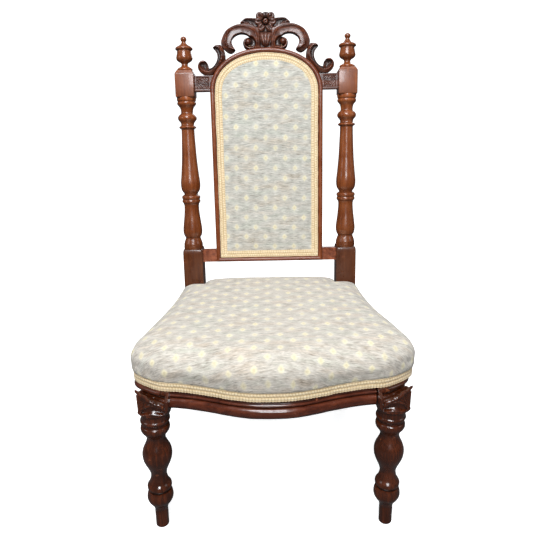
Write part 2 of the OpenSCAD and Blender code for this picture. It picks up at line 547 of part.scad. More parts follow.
// cords tied across the tops of the springs, down to the rails
module cord_run(P) {
    for (i = [0 : len(P) - 2]) let (d = P[i + 1] - P[i], l = norm(d))
        translate(P[i]) rotate([0, acos(d[2] / l), atan2(d[1], d[0])]) cylinder(r = 1.1, h = l, $fn = 16);
}
module spring_lashing() {
    z1 = spring_top + 1.3;
    color(JUTE) at_floor() {
        cord_run([[-222, 112, 307.6], [-120, 112, z1], [120, 112, z1], [222, 112, 307.6]]);
        cord_run([[-198, 182, 307.6], [-34, 182, z1], [34, 182, z1], [198, 182, 307.6]]);
        cord_run([[-192, 256, 307.6], [-114, 256, z1], [114, 256, z1], [192, 256, 307.6]]);
    }
}
hess_t = 1.2;
module seat_hessian() {
    color(JUTE) at_floor() loft([
        plan_at(0.5, 324), plan_at(0.72, 322.5), plan_at(0.84, 317), plan_at(0.905, 309.9), plan_at(0.98, rail_top + hess_t + 1.6),
        plan_at(0.98, rail_top + 1.6), plan_at(0.905, 308.7 - 0.1), plan_at(0.84, 315.8), plan_at(0.72, 321.3), plan_at(0.5, 322.8)]);
}
// height of the top of the stuffing at scale f
crown = crown_z - cloth_t;
stuff_rings = [[1.0, 0], [1.012, 0.2], [1.012, 0.4], [1, 0.56], [0.975, 0.69], [0.93, 0.81], [0.85, 0.905], [0.72, 0.965], [0.54, 0.99], [0.3, 1]];
// the stuffing rises towards the back and falls off to the sides
function swell(p, top) = top - 13.5 + 0.043 * (min(p[1], 330) - 15) - 7.5 * pow(abs(p[0]) / 240, 2.4);
function dome(o, top) = [for (q = stuff_rings) [for (p = plan_at(q[0], 0, o)) [p[0], p[1], mix(rail_top, swell(p, top), q[1])]]];
module seat_stuffing() {
    R = dome(-2.2, crown);
    color(HAIR) at_floor() loft(concat(
        [plan_at(0.5, 324.3), plan_at(0.72, 322.8), plan_at(0.84, 317.3), plan_at(0.905, 310.2), plan_at(0.97, rail_top + 3.1)],
        [for (p = [R[0]]) [for (q = p) [q[0], q[1], rail_top + 3.1]]], [for (i = [1 : len(R) - 1]) R[i]]));
}
module seat_cover() {
    A = dome(0.2, crown_z);
    B = dome(-1.8, crown + 0.2);
    w = 1.6;
    // skirt down the front and sides, and down behind the rear rail
    color(CLOTH) at_floor() loft(concat(
        [for (i = [len(A) - 1 : -1 : 0]) A[i]],
        [plan_at(1, rail_top, w), plan_at(1, 289, w), plan_at(1, 289, 0.2), plan_at(1, rail_top + 0.2, 0.2)],
        [for (i = [0 : 0]) plan_at(1, rail_top + 2.2, -1.8)],
        [for (i = [1 : len(B) - 1]) B[i]]));
}
// braid over the raw edge of the cover, from post to post
module seat_braid() {
    n = len(half_plan);
    A = outer_plan(2.2);
    B = outer_plan(2.2 + braid_t);
    L = concat([for (i = [n - 1 : -1 : 1]) [-1, i]], [for (i = [0 : n - 1]) [1, i]]);
    color(GIMP) at_floor() loft([for (e = L) let (s = e[0], a = A[e[1]], b = B[e[1]], m = (a + b) / 2)
        [[s * a[0], a[1], rebate_z], [s * m[0], m[1], rebate_z], [s * b[0], b[1], rebate_z + 2], [s * b[0], b[1], rebate_z + braid_w - 2],
         [s * m[0], m[1], rebate_z + braid_w], [s * a[0], a[1], rebate_z + braid_w]]]);
}

// ---------- back upholstery ----------
module back_webbing() {
    color(JUTE) back_plane() {
        for (x = [-66, 0, 66]) translate([x - 22, reb_v - 1, panel_foot + 14]) cube([44, 1, (x == 0 ? 891 : 878) - panel_foot - 14]);
        for (z = [490, 590, 690, 790]) translate([-113, reb_v - 2, z - 22]) cube([226, 1, 44]);
    }
}
module back_hessian() {
    color(JUTE) back_plane() loft([panel_at(12, reb_v - 2.1), panel_at(12, reb_v - 2.9)]);
}
pad_rings = [[11.2, -9.6], [12.4, -10.6], [20, -11.2], [30, -12.6], [44, -14.2], [62, -15.2], [84, -15.8]];
function pad_v(v) = v < -11 ? -11 + (v + 11) * pad_crown / 6 : v;
module back_stuffing() {
    color(HAIR) back_plane() loft(concat([panel_at(12, reb_v - 3)], [for (q = pad_rings) panel_at(q[0] + 0.6, pad_v(q[1]) + cloth_t + 0.1)]));
}
module back_cover() {
    color(CLOTH) back_plane() loft(concat(
        [for (i = [len(pad_rings) - 1 : -1 : 0]) panel_at(pad_rings[i][0], pad_v(pad_rings[i][1]))], [panel_at(11.2, reb_v - 3)],
        [panel_at(11.6, reb_v - 3)],
        [for (q = pad_rings) panel_at(q[0] + 0.5, pad_v(q[1]) + cloth_t)]));
}
// section with rounded outer corners, swept round the whole panel outline
module gimp_loop(s0, w, v, t) {
    S = [[s0, v], [s0, v - t * 0.7], [s0 + 1.5, v - t], [s0 + w - 1.5, v - t], [s0 + w, v - t * 0.7], [s0 + w, v]];
    R = [for (q = S) panel_at(q[0], q[1])];
    loft_loop([for (i = [0 : len(R[0]) - 1]) [for (r = R) r[i]]]);
}
module back_braid() { color(GIMP) back_plane() gimp_loop(bead_w + 0.4, gimp_w, -11.3, braid_t); }
module outside_back_cover() {
    color(CLOTH) back_plane() loft([panel_at(6, back_v + cloth_t), panel_at(6, back_v)]);
}
module outside_back_braid() {
    color(GIMP) back_plane() mirror([0, 1, 0]) gimp_loop(4, 13, -back_v - cloth_t, 1.8);
}

front_leg_left();
front_leg_right();
back_post_left();
back_post_right();
finial_left();
finial_right();
front_seat_rail();
side_seat_rail_left();
side_seat_rail_right();
rear_seat_rail();
corner_brace_front_left();
corner_brace_front_right();
corner_brace_rear_left();
corner_brace_rear_right();
brace_screws();
panel_arch();
panel_stile_left();
panel_stile_right();
panel_sill();
upper_stub_rail_left();
upper_stub_rail_right();
lower_stub_rail_left();
lower_stub_rail_right();
crest_carving();
crest_flower();
crest_leaf_left();
crest_leaf_right();
crest_wing_left();
crest_wing_right();
crest_dowels();
seat_webbing();
webbing_tacks();
seat_springs();
spring_lashing();
seat_hessian();
seat_stuffing();
seat_cover();
seat_braid();
back_webbing();
back_hessian();
back_stuffing();
back_cover();
back_braid();
outside_back_cover();
outside_back_braid();
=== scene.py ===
import math

import bmesh
import bpy
import numpy as np
from mathutils import Matrix, Vector


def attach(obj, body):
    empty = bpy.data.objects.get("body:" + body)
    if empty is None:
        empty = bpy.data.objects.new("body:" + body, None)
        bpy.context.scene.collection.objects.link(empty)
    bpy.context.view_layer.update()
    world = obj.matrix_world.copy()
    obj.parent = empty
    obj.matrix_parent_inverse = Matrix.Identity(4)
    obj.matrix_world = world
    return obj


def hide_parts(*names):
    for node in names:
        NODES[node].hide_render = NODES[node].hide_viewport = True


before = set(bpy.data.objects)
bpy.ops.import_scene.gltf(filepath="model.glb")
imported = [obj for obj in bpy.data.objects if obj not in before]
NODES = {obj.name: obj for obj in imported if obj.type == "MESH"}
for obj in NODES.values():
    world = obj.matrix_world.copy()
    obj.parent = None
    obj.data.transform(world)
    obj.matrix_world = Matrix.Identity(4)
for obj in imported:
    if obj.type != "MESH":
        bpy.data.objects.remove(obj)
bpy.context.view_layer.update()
scene = bpy.context.scene

YM = 220.3467          # footprint centre, from the front leg axes, in mm
RAKE = math.radians(3.5)
CR, SR = math.cos(RAKE), math.sin(RAKE)

# ------------------------------------------------------------------ frames
def row(P):
    """mm from the front leg axes -> metres in the row frame"""
    P = np.asarray(P, float)
    out = P.copy()
    out[..., 1] -= YM
    return out / 1000.0


def back(P):
    """x, depth, height on the raked back (mm) -> metres in the row frame"""
    P = np.asarray(P, float)
    out = P.copy()
    w = P[..., 2] - 453.0
    out[..., 1] = 408.5 + P[..., 1] * CR + w * SR - YM
    out[..., 2] = 453.0 - P[..., 1] * SR + w * CR
    return out / 1000.0


# ------------------------------------------------------------------ curves
def spline(P, n=8, closed=False):
    P = np.asarray(P, float)
    m = len(P)
    out = []
    last = m if closed else m - 1
    for i in range(last):
        if closed:
            a, b, c, d = P[(i - 1) % m], P[i], P[(i + 1) % m], P[(i + 2) % m]
        else:
            a, b, c, d = P[max(i - 1, 0)], P[i], P[i + 1], P[min(i + 2, m - 1)]
        for k in range(n):
            t = k / n
            out.append(0.5 * (2 * b + (c - a) * t + (2 * a - 5 * b + 4 * c - d) * t * t + (3 * b - a - 3 * c + d) * t ** 3))
    if not closed:
        out.append(P[-1])
    return np.array(out)


def even(P, step):
    """points along a polyline at about that spacing"""
    P = np.asarray(P, float)
    seg = np.linalg.norm(np.diff(P, axis=0), axis=1)
    s = np.concatenate([[0], np.cumsum(seg)])
    n = max(2, int(round(s[-1] / step)) + 1)
    t = np.linspace(0, s[-1], n)
    return np.stack([np.interp(t, s, P[:, k]) for k in range(P.shape[1])], 1), t


def sstep(a, b, x):
    t = np.clip((x - a) / (b - a), 0, 1)
    return t * t * (3 - 2 * t)


def smin(a, b, k):
    h = np.clip(0.5 + 0.5 * (b - a) / k, 0, 1)
    return b + (a - b) * h - k * h * (1 - h)


def smax(a, b, k):
    return -smin(-a, -b, k)


# repeatable smooth noise on any points
def hash3(ix, iy, iz, seed):
    n = (ix.astype(np.int64) * 374761393 + iy.astype(np.int64) * 668265263 + iz.astype(np.int64) * 2147483647 + seed * 974634777) & 0x7FFFFFFF
    n = ((n ^ (n >> 13)) * 1274126177) & 0x7FFFFFFF
    return ((n ^ (n >> 16)) & 0xFFFF) / 65535.0


def vnoise(P, seed=0):
    P = np.asarray(P, float)
    i = np.floor(P).astype(np.int64)
    f = P - i
    f = f * f * (3 - 2 * f)
    v = 0
    for dx in (0, 1):
        for dy in (0, 1):
            for dz in (0, 1):
                w = (f[..., 0] if dx else 1 - f[..., 0]) * (f[..., 1] if dy else 1 - f[..., 1]) * (f[..., 2] if dz else 1 - f[..., 2])
                v = v + w * hash3(i[..., 0] + dx, i[..., 1] + dy, i[..., 2] + dz, seed)
    return v * 2 - 1


# ------------------------------------------------------------------ meshes
def build(name, V, F, mat=None, replaces=(), sharp=None, smooth=True):
    """a piece from points in metres and faces; F is a list of faces or an array of equal ones"""
    me = bpy.data.meshes.new(name)
    V = np.asarray(V, np.float32)
    if isinstance(F, np.ndarray):
        F = F.astype(np.int32)
        k = F.shape[1]
        me.vertices.add(len(V))
        me.vertices.foreach_set("co", V.ravel())
        me.loops.add(F.size)
        me.loops.foreach_set("vertex_index", F.ravel())
        me.polygons.add(len(F))
        me.polygons.foreach_set("loop_start", np.arange(0, F.size, k, dtype=np.int32))
        me.update(calc_edges=True)
    else:
        me.from_pydata(V.tolist(), [], [tuple(int(i) for i in f) for f in F])
        me.update()
    me.validate()
    ob = bpy.data.objects.new(name, me)
    scene.collection.objects.link(ob)
    finish_piece(ob, mat, replaces, sharp, smooth)
    return ob


def finish_piece(ob, mat=None, replaces=(), sharp=None, smooth=True):
    me = ob.data
    if smooth:
        me.polygons.foreach_set("use_smooth", np.ones(len(me.polygons), bool))
    if sharp is not None:
        me.set_sharp_from_angle(angle=math.radians(sharp))
    if mat is not None:
        me.materials.clear()
        me.materials.append(mat)
    if replaces:
        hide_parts(*replaces)
    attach(ob, "root")


class Geo:
    """collects islands of one piece"""
    def __init__(self):
        self.V, self.F, self.n = [], [], 0

    def add(self, V, F):
        V = np.asarray(V, float)
        self.V.append(V)
        self.F += [[int(i) + self.n for i in f] for f in F]
        self.n += len(V)
        return self

    def out(self):
        return np.concatenate(self.V), self.F


def grid_faces(m, n, loop_u=False, loop_v=False):
    """quads on an m x n grid of points (v fastest)"""
    mu, nv = (m if loop_u else m - 1), (n if loop_v else n - 1)
    i, j = np.meshgrid(np.arange(mu), np.arange(nv), indexing="ij")
    i, j = i.ravel(), j.ravel()
    i2, j2 = (i + 1) % m, (j + 1) % n
    return np.stack([i * n + j, i2 * n + j, i2 * n + j2, i * n + j2], 1)


def revolve(zr, n=96, centre=(0, 0)):
    """closed turned solid; zr is [height, radius] from the bottom up"""
    zr = np.asarray(zr, float)
    a = np.linspace(0, 2 * math.pi, n, endpoint=False)
    V = np.stack([centre[0] + zr[:, 1:2] * np.cos(a), centre[1] + zr[:, 1:2] * np.sin(a), np.repeat(zr[:, :1], n, 1)], -1).reshape(-1, 3)
    F = [[i * n + j, i * n + (j + 1) % n, (i + 1) * n + (j + 1) % n, (i + 1) * n + j] for i in range(len(zr) - 1) for j in range(n)]
    b = len(V)
    V = np.concatenate([V, [[centre[0], centre[1], zr[0, 0]], [centre[0], centre[1], zr[-1, 0]]]])
    F += [[b, (j + 1) % n, j] for j in range(n)]
    t = (len(zr) - 1) * n
    F += [[b + 1, t + j, t + (j + 1) % n] for j in range(n)]
    return V, F


def turned(P, n=4):
    """[height, radius] control points -> smooth dense profile; None breaks the curve"""
    out, run = [], []
    for p in list(P) + [None]:
        if p is None:
            if len(run) > 2:
                out += [list(q) for q in spline(run, n)]
            else:
                out += [list(q) for q in run]
            run = []
        else:
            run.append(p)
    return np.array(out)


def ring_loft(R, cap=True, loop=False):
    R = [np.asarray(r, float) for r in R]
    m, n = len(R), len(R[0])
    V = np.concatenate(R)
    F = grid_faces(m, n, loop_u=loop, loop_v=True).tolist()
    if cap and not loop:
        F.append(list(range(n)))
        F.append([(m - 1) * n + i for i in range(n - 1, -1, -1)])
    return V, F


def fix_normals(ob):
    bm = bmesh.new()
    bm.from_mesh(ob.data)
    bmesh.ops.recalc_face_normals(bm, faces=bm.faces)
    bm.to_mesh(ob.data)
    bm.free()
    ob.data.update()


def surface_nets(F, origin, h):
    """skin of the zero level of F (negative inside) on a grid with corner origin and step h"""
    s = F < 0
    c = [(a, b, d) for a in (0, 1) for b in (0, 1) for d in (0, 1)]
    nx, ny, nz = F.shape
    cnt = np.zeros((nx - 1, ny - 1, nz - 1), np.int8)
    for a, b, d in c:
        cnt += s[a:nx - 1 + a, b:ny - 1 + b, d:nz - 1 + d]
    act = (cnt > 0) & (cnt < 8)
    idx = np.argwhere(act)
    num = -np.ones(act.shape, np.int64)
    num[act] = np.arange(len(idx))
    val = np.stack([F[idx[:, 0] + a, idx[:, 1] + b, idx[:, 2] + d] for a, b, d in c], 1)
    acc = np.zeros((len(idx), 3))
    w = np.zeros(len(idx))
    C = np.array(c, float)
    for p in range(8):
        for q in range(p + 1, 8):
            if abs(C[p] - C[q]).sum() != 1:
                continue
            vp, vq = val[:, p], val[:, q]
            m = (vp < 0) != (vq < 0)
            t = np.where(m, vp / np.where(m, vp - vq, 1), 0)
            acc += (C[p] + t[:, None] * (C[q] - C[p])) * m[:, None]
            w += m
    V = (idx + acc / w[:, None]) * h + np.asarray(origin)
    Q = []
    for ax in range(3):
        sl0 = [slice(None)] * 3
        sl1 = [slice(None)] * 3
        sl0[ax], sl1[ax] = slice(0, -1), slice(1, None)
        a0, a1 = s[tuple(sl0)], s[tuple(sl1)]
        e = np.argwhere(a0 != a1)
        o1, o2 = (ax + 1) % 3, (ax + 2) % 3
        e = e[(e[:, o1] > 0) & (e[:, o2] > 0) & (e[:, o1] < F.shape[o1] - 1) & (e[:, o2] < F.shape[o2] - 1)]
        ids = []
        for d1, d2 in ((1, 1), (0, 1), (0, 0), (1, 0)):
            k = e.copy()
            k[:, o1] -= d1
            k[:, o2] -= d2
            ids.append(num[k[:, 0], k[:, 1], k[:, 2]])
        q = np.stack(ids, 1)
        inside = a0[e[:, 0], e[:, 1], e[:, 2]]
        q[~inside] = q[~inside][:, ::-1]
        Q.append(q)
    Q = np.concatenate(Q)
    return V, Q[(Q >= 0).all(1)]


def seg_dist(X, Z, P, closed=False):
    """distance from each grid point to a polyline, and the place along it"""
    P = np.asarray(P, float)
    if closed:
        P = np.concatenate([P, P[:1]])
    best = np.full(X.shape, 1e9)
    at = np.zeros(X.shape)
    s = 0.0
    for a, b in zip(P[:-1], P[1:]):
        d = b - a
        L2 = float(d @ d)
        if L2 < 1e-12:
            continue
        t = np.clip(((X - a[0]) * d[0] + (Z - a[1]) * d[1]) / L2, 0, 1)
        q = np.hypot(X - a[0] - t * d[0], Z - a[1] - t * d[1])
        m = q < best
        best[m] = q[m]
        L = math.sqrt(L2)
        at[m] = s + t[m] * L
        s += L
    return best, at


def inside_poly(X, Z, P):
    P = np.asarray(P, float)
    ins = np.zeros(X.shape, bool)
    for (x0, z0), (x1, z1) in zip(P, np.roll(P, -1, 0)):
        if z0 == z1:
            continue
        c = ((z0 > Z) != (z1 > Z)) & (X < (x1 - x0) * (Z - z0) / (z1 - z0) + x0)
        ins ^= c
    return ins


def outline(X, Z, P):
    """signed distance to a closed outline, negative inside"""
    d, _ = seg_dist(X, Z, P, True)
    return np.where(inside_poly(X, Z, P), -d, d)


# ------------------------------------------------------------------ materials
def lin(r, g, b, a=1.0):
    f = lambda c: (c / 255.0 / 12.92) if c <= 10 else ((c / 255.0 + 0.055) / 1.055) ** 2.4
    return (f(r), f(g), f(b), a)


class Nodes:
    def __init__(self, name):
        self.mat = bpy.data.materials.new(name)
        self.mat.use_nodes = True
        self.t = self.mat.node_tree
        self.t.nodes.clear()
        self.out = self.t.nodes.new("ShaderNodeOutputMaterial")
        self.bsdf = self.t.nodes.new("ShaderNodeBsdfPrincipled")
        self.t.links.new(self.bsdf.outputs[0], self.out.inputs[0])

    def put(self, sock, v):
        if isinstance(v, bpy.types.NodeSocket):
            self.t.links.new(v, sock)
        else:
            sock.default_value = v

    def node(self, kind, ins=None, **props):
        n = self.t.nodes.new("ShaderNode" + kind)
        for k, v in props.items():
            setattr(n, k, v)
        for k, v in (ins or {}).items():
            self.put(n.inputs[k], v)
        return n

    def m(self, op, a, b=0.0, c=None, clamp=False):
        n = self.t.nodes.new("ShaderNodeMath")
        n.operation, n.use_clamp = op, clamp
        self.put(n.inputs[0], a)
        self.put(n.inputs[1], b)
        if c is not None:
            self.put(n.inputs[2], c)
        return n.outputs[0]

    def noise(self, vec, scale, detail=2.0, rough=0.5, dist=0.0, col=False):
        n = self.node("TexNoise", {"Vector": vec, "Scale": scale, "Detail": detail, "Roughness": rough, "Distortion": dist})
        return n.outputs["Color" if col else "Fac"]

    def scale(self, vec, s, loc=(0, 0, 0), rot=(0, 0, 0)):
        n = self.node("Mapping", {"Vector": vec})
        n.inputs["Scale"].default_value = s
        n.inputs["Location"].default_value = loc
        n.inputs["Rotation"].default_value = rot
        return n.outputs[0]

    def ramp(self, fac, stops, interp="LINEAR"):
        n = self.node("ValToRGB", {"Fac": fac})
        r = n.color_ramp
        r.interpolation = interp
        while len(r.elements) < len(stops):
            r.elements.new(0.5)
        for e, (p, c) in zip(r.elements, stops):
            e.position = p
            e.color = c if len(c) == 4 else (*c, 1)
        return n.outputs["Color"]

    def fit(self, v, a, b, lo=0.0, hi=1.0, smooth=False):
        n = self.node("MapRange", {"Value": v, "From Min": a, "From Max": b, "To Min": lo, "To Max": hi})
        if smooth:
            n.interpolation_type = "SMOOTHSTEP"
        n.clamp = True
        return n.outputs["Result"]

    def mix(self, fac, a, b, mode="MIX"):
        n = self.t.nodes.new("ShaderNodeMix")
        n.data_type, n.blend_type, n.clamp_result = "RGBA", mode, False
        self.put(n.inputs["Factor"], fac)
        self.put([i for i in n.inputs if i.name == "A" and i.type == "RGBA"][0], a)
        self.put([i for i in n.inputs if i.name == "B" and i.type == "RGBA"][0], b)
        return [o for o in n.outputs if o.type == "RGBA"][0]

    def bump(self, height, strength, dist, normal=None):
        n = self.node("Bump", {"Height": height, "Strength": strength, "Distance": dist})
        if normal is not None:
            self.put(n.inputs["Normal"], normal)
        return n.outputs[0]

    def set(self, **kw):
        for k, v in kw.items():
            self.put(self.bsdf.inputs[k.replace("_", " ")], v)
        return self.mat


def attr(N, name):
    return N.node("Attribute", attribute_name=name).outputs["Vector"]


def wood(name, dark, mid, light, axis="z", gloss=0.27, coat=0.35, dirt_and_hollow_shade=0.7, wear=0.5, seed=0.0, pore=1.0, fleck=0.0, painted_light_by_height=None, deep=False):
    """polished, aged hardwood: long grain, pores, hollows darkened as dirt and painted shade, edges lightened as
    rubbing and painted highlight
    """
    N = Nodes(name)
    obj = N.node("TexCoord").outputs["Object"]
    long = {"z": (1, 1, 0.045), "x": (0.045, 1, 1), "y": (1, 0.045, 1)}[axis]
    loc = (seed * 0.37, seed * 0.73, seed * 0.19)
    g1 = N.noise(N.scale(obj, long, loc), 150, 5, 0.6, 0.6)
    g2 = N.noise(N.scale(obj, tuple(s if s < 1 else 1 for s in long), loc), 620, 3, 0.65)
    fine_long = tuple(s * 0.35 if s < 1 else 1 for s in long)
    pores = N.noise(N.scale(obj, fine_long, loc), 1500, 2, 0.5)
    blotch = N.noise(N.scale(obj, (1, 1, 1), loc), 22, 4, 0.6)
    big = N.noise(N.scale(obj, (1, 1, 1), loc), 6, 2, 0.5)
    f = N.m("ADD", N.m("MULTIPLY", g1, 0.6), N.m("MULTIPLY", g2, 0.25))
    f = N.m("ADD", f, N.m("MULTIPLY", blotch, 0.35))
    col = N.ramp(N.fit(f, 0.36, 0.84), [(0.0, dark), (0.45, mid), (1.0, light)])
    dk = N.fit(pores, 0.60, 0.72)
    col = N.mix(N.m("MULTIPLY", dk, 0.45 * pore), col, tuple(c * 0.35 for c in dark[:3]) + (1,))
    geo = N.node("NewGeometry")
    pt = geo.outputs["Pointiness"]
    # dirt and painted shade: the hollows, where pointiness is low, are darkened
    hollow = N.fit(pt, 0.505, 0.44)
    col = N.mix(N.m("MULTIPLY", hollow, dirt_and_hollow_shade), col, tuple(c * 0.22 for c in dark[:3]) + (1,))
    # rubbed edges and painted highlight: sharp convex edges are lightened towards a brighter copy of the light colour
    edge = N.m("MULTIPLY", N.fit(pt, 0.515, 0.60), N.fit(N.noise(obj, 85, 4, 0.65), 0.42, 0.62))
    rub_and_highlight = tuple(min(1, c * 1.5 + 0.012) for c in light[:3]) + (1,)
    col = N.mix(N.m("MULTIPLY", edge, wear), col, rub_and_highlight)
    if fleck:
        sp = N.fit(N.noise(N.scale(obj, (1, 1, 1), (seed + 3, 1, 2)), 95, 2, 0.4), 0.70, 0.74)
        col = N.mix(N.m("MULTIPLY", sp, fleck), col, lin(168, 96, 62))
    # painted light: the colour is lightened and darkened by a ramp over height
    if painted_light_by_height:
        z = N.node("SeparateXYZ", {"Vector": obj}).outputs[2]
        col = N.mix(1.0, col, N.ramp(z, [(h, (v, v, v)) for h, v in painted_light_by_height]), "MULTIPLY")
    rough = N.m("ADD", N.fit(blotch, 0.3, 0.75, gloss * 0.75, gloss * 1.6), N.m("MULTIPLY", dk, 0.18))
    rough = N.m("ADD", rough, N.m("MULTIPLY", hollow, 0.18))
    if deep:
        # painted shade: the deep hollows of the carving are darkened, and made rougher
        at = N.node("SeparateXYZ", {"Vector": attr(N, "deep")}).outputs[0]
        low = N.m("MULTIPLY", N.fit(at, -12.6, -5.0), N.fit(at, 2.5, -1.5))
        col = N.mix(N.m("MULTIPLY", low, 0.72), col, tuple(c * 0.7 for c in dark[:3]) + (1,))
        rough = N.m("ADD", rough, N.m("MULTIPLY", low, 0.22))
    h = N.m("ADD", N.m("MULTIPLY", pores, 0.5), N.m("MULTIPLY", g2, 0.35))
    nrm = N.bump(big, 0.25, 0.004)
    nrm = N.bump(h, 0.22, 0.00035, nrm)
    N.set(Base_Color=col, Roughness=rough, Normal=nrm, Coat_Weight=coat, Coat_Roughness=0.1)
    N.bsdf.inputs["Specular IOR Level"].default_value = 0.5
    return N.mat


M_LEG = wood("leg_wood", lin(24, 8, 3), lin(62, 26, 10), lin(104, 48, 23), "z", 0.17, 0.45, 0.85, 0.5, 1.0, fleck=0.35)
M_RAIL = wood("rail_wood", lin(36, 13, 6), lin(78, 33, 18), lin(118, 57, 33), "x", 0.2, 0.5, 0.8, 0.5, 2.0, fleck=0.8)
M_SIDE = wood("side_rail_wood", lin(30, 11, 5), lin(62, 26, 14), lin(96, 45, 26), "y", 0.26, 0.35, 0.8, 0.45, 2.6, fleck=0.5)
# the post wood is painted lighter at the top blocks and darker lower down, as light from above falls
M_POST = wood("post_wood", lin(78, 32, 10), lin(118, 59, 25), lin(152, 87, 46), "z", 0.22, 0.24, 0.85, 0.55, 3.0, fleck=0.25,
              painted_light_by_height=[(0.30, 0.50), (0.455, 0.62), (0.47, 0.80), (0.62, 1.0), (0.78, 1.05), (0.81, 1.45), (0.86, 1.38), (0.88, 0.9)])
M_FRAME_Z = wood("frame_wood_upright", lin(80, 34, 14), lin(120, 60, 30), lin(156, 90, 56), "z", 0.22, 0.3, 0.75, 0.6, 4.0)
M_FRAME_X = wood("frame_wood_level", lin(70, 28, 13), lin(104, 49, 27), lin(140, 76, 46), "x", 0.3, 0.14, 0.75, 0.6, 5.0)
M_CREST = wood("carved_wood", lin(26, 10, 5), lin(76, 33, 15), lin(136, 70, 38), "x", 0.27, 0.25, 0.95, 0.9, 6.0, pore=0.25, deep=True)
M_BEECH = wood("beech", lin(150, 116, 78), lin(176, 140, 98), lin(196, 162, 120), "x", 0.55, 0.0, 0.4, 0.2, 7.0)


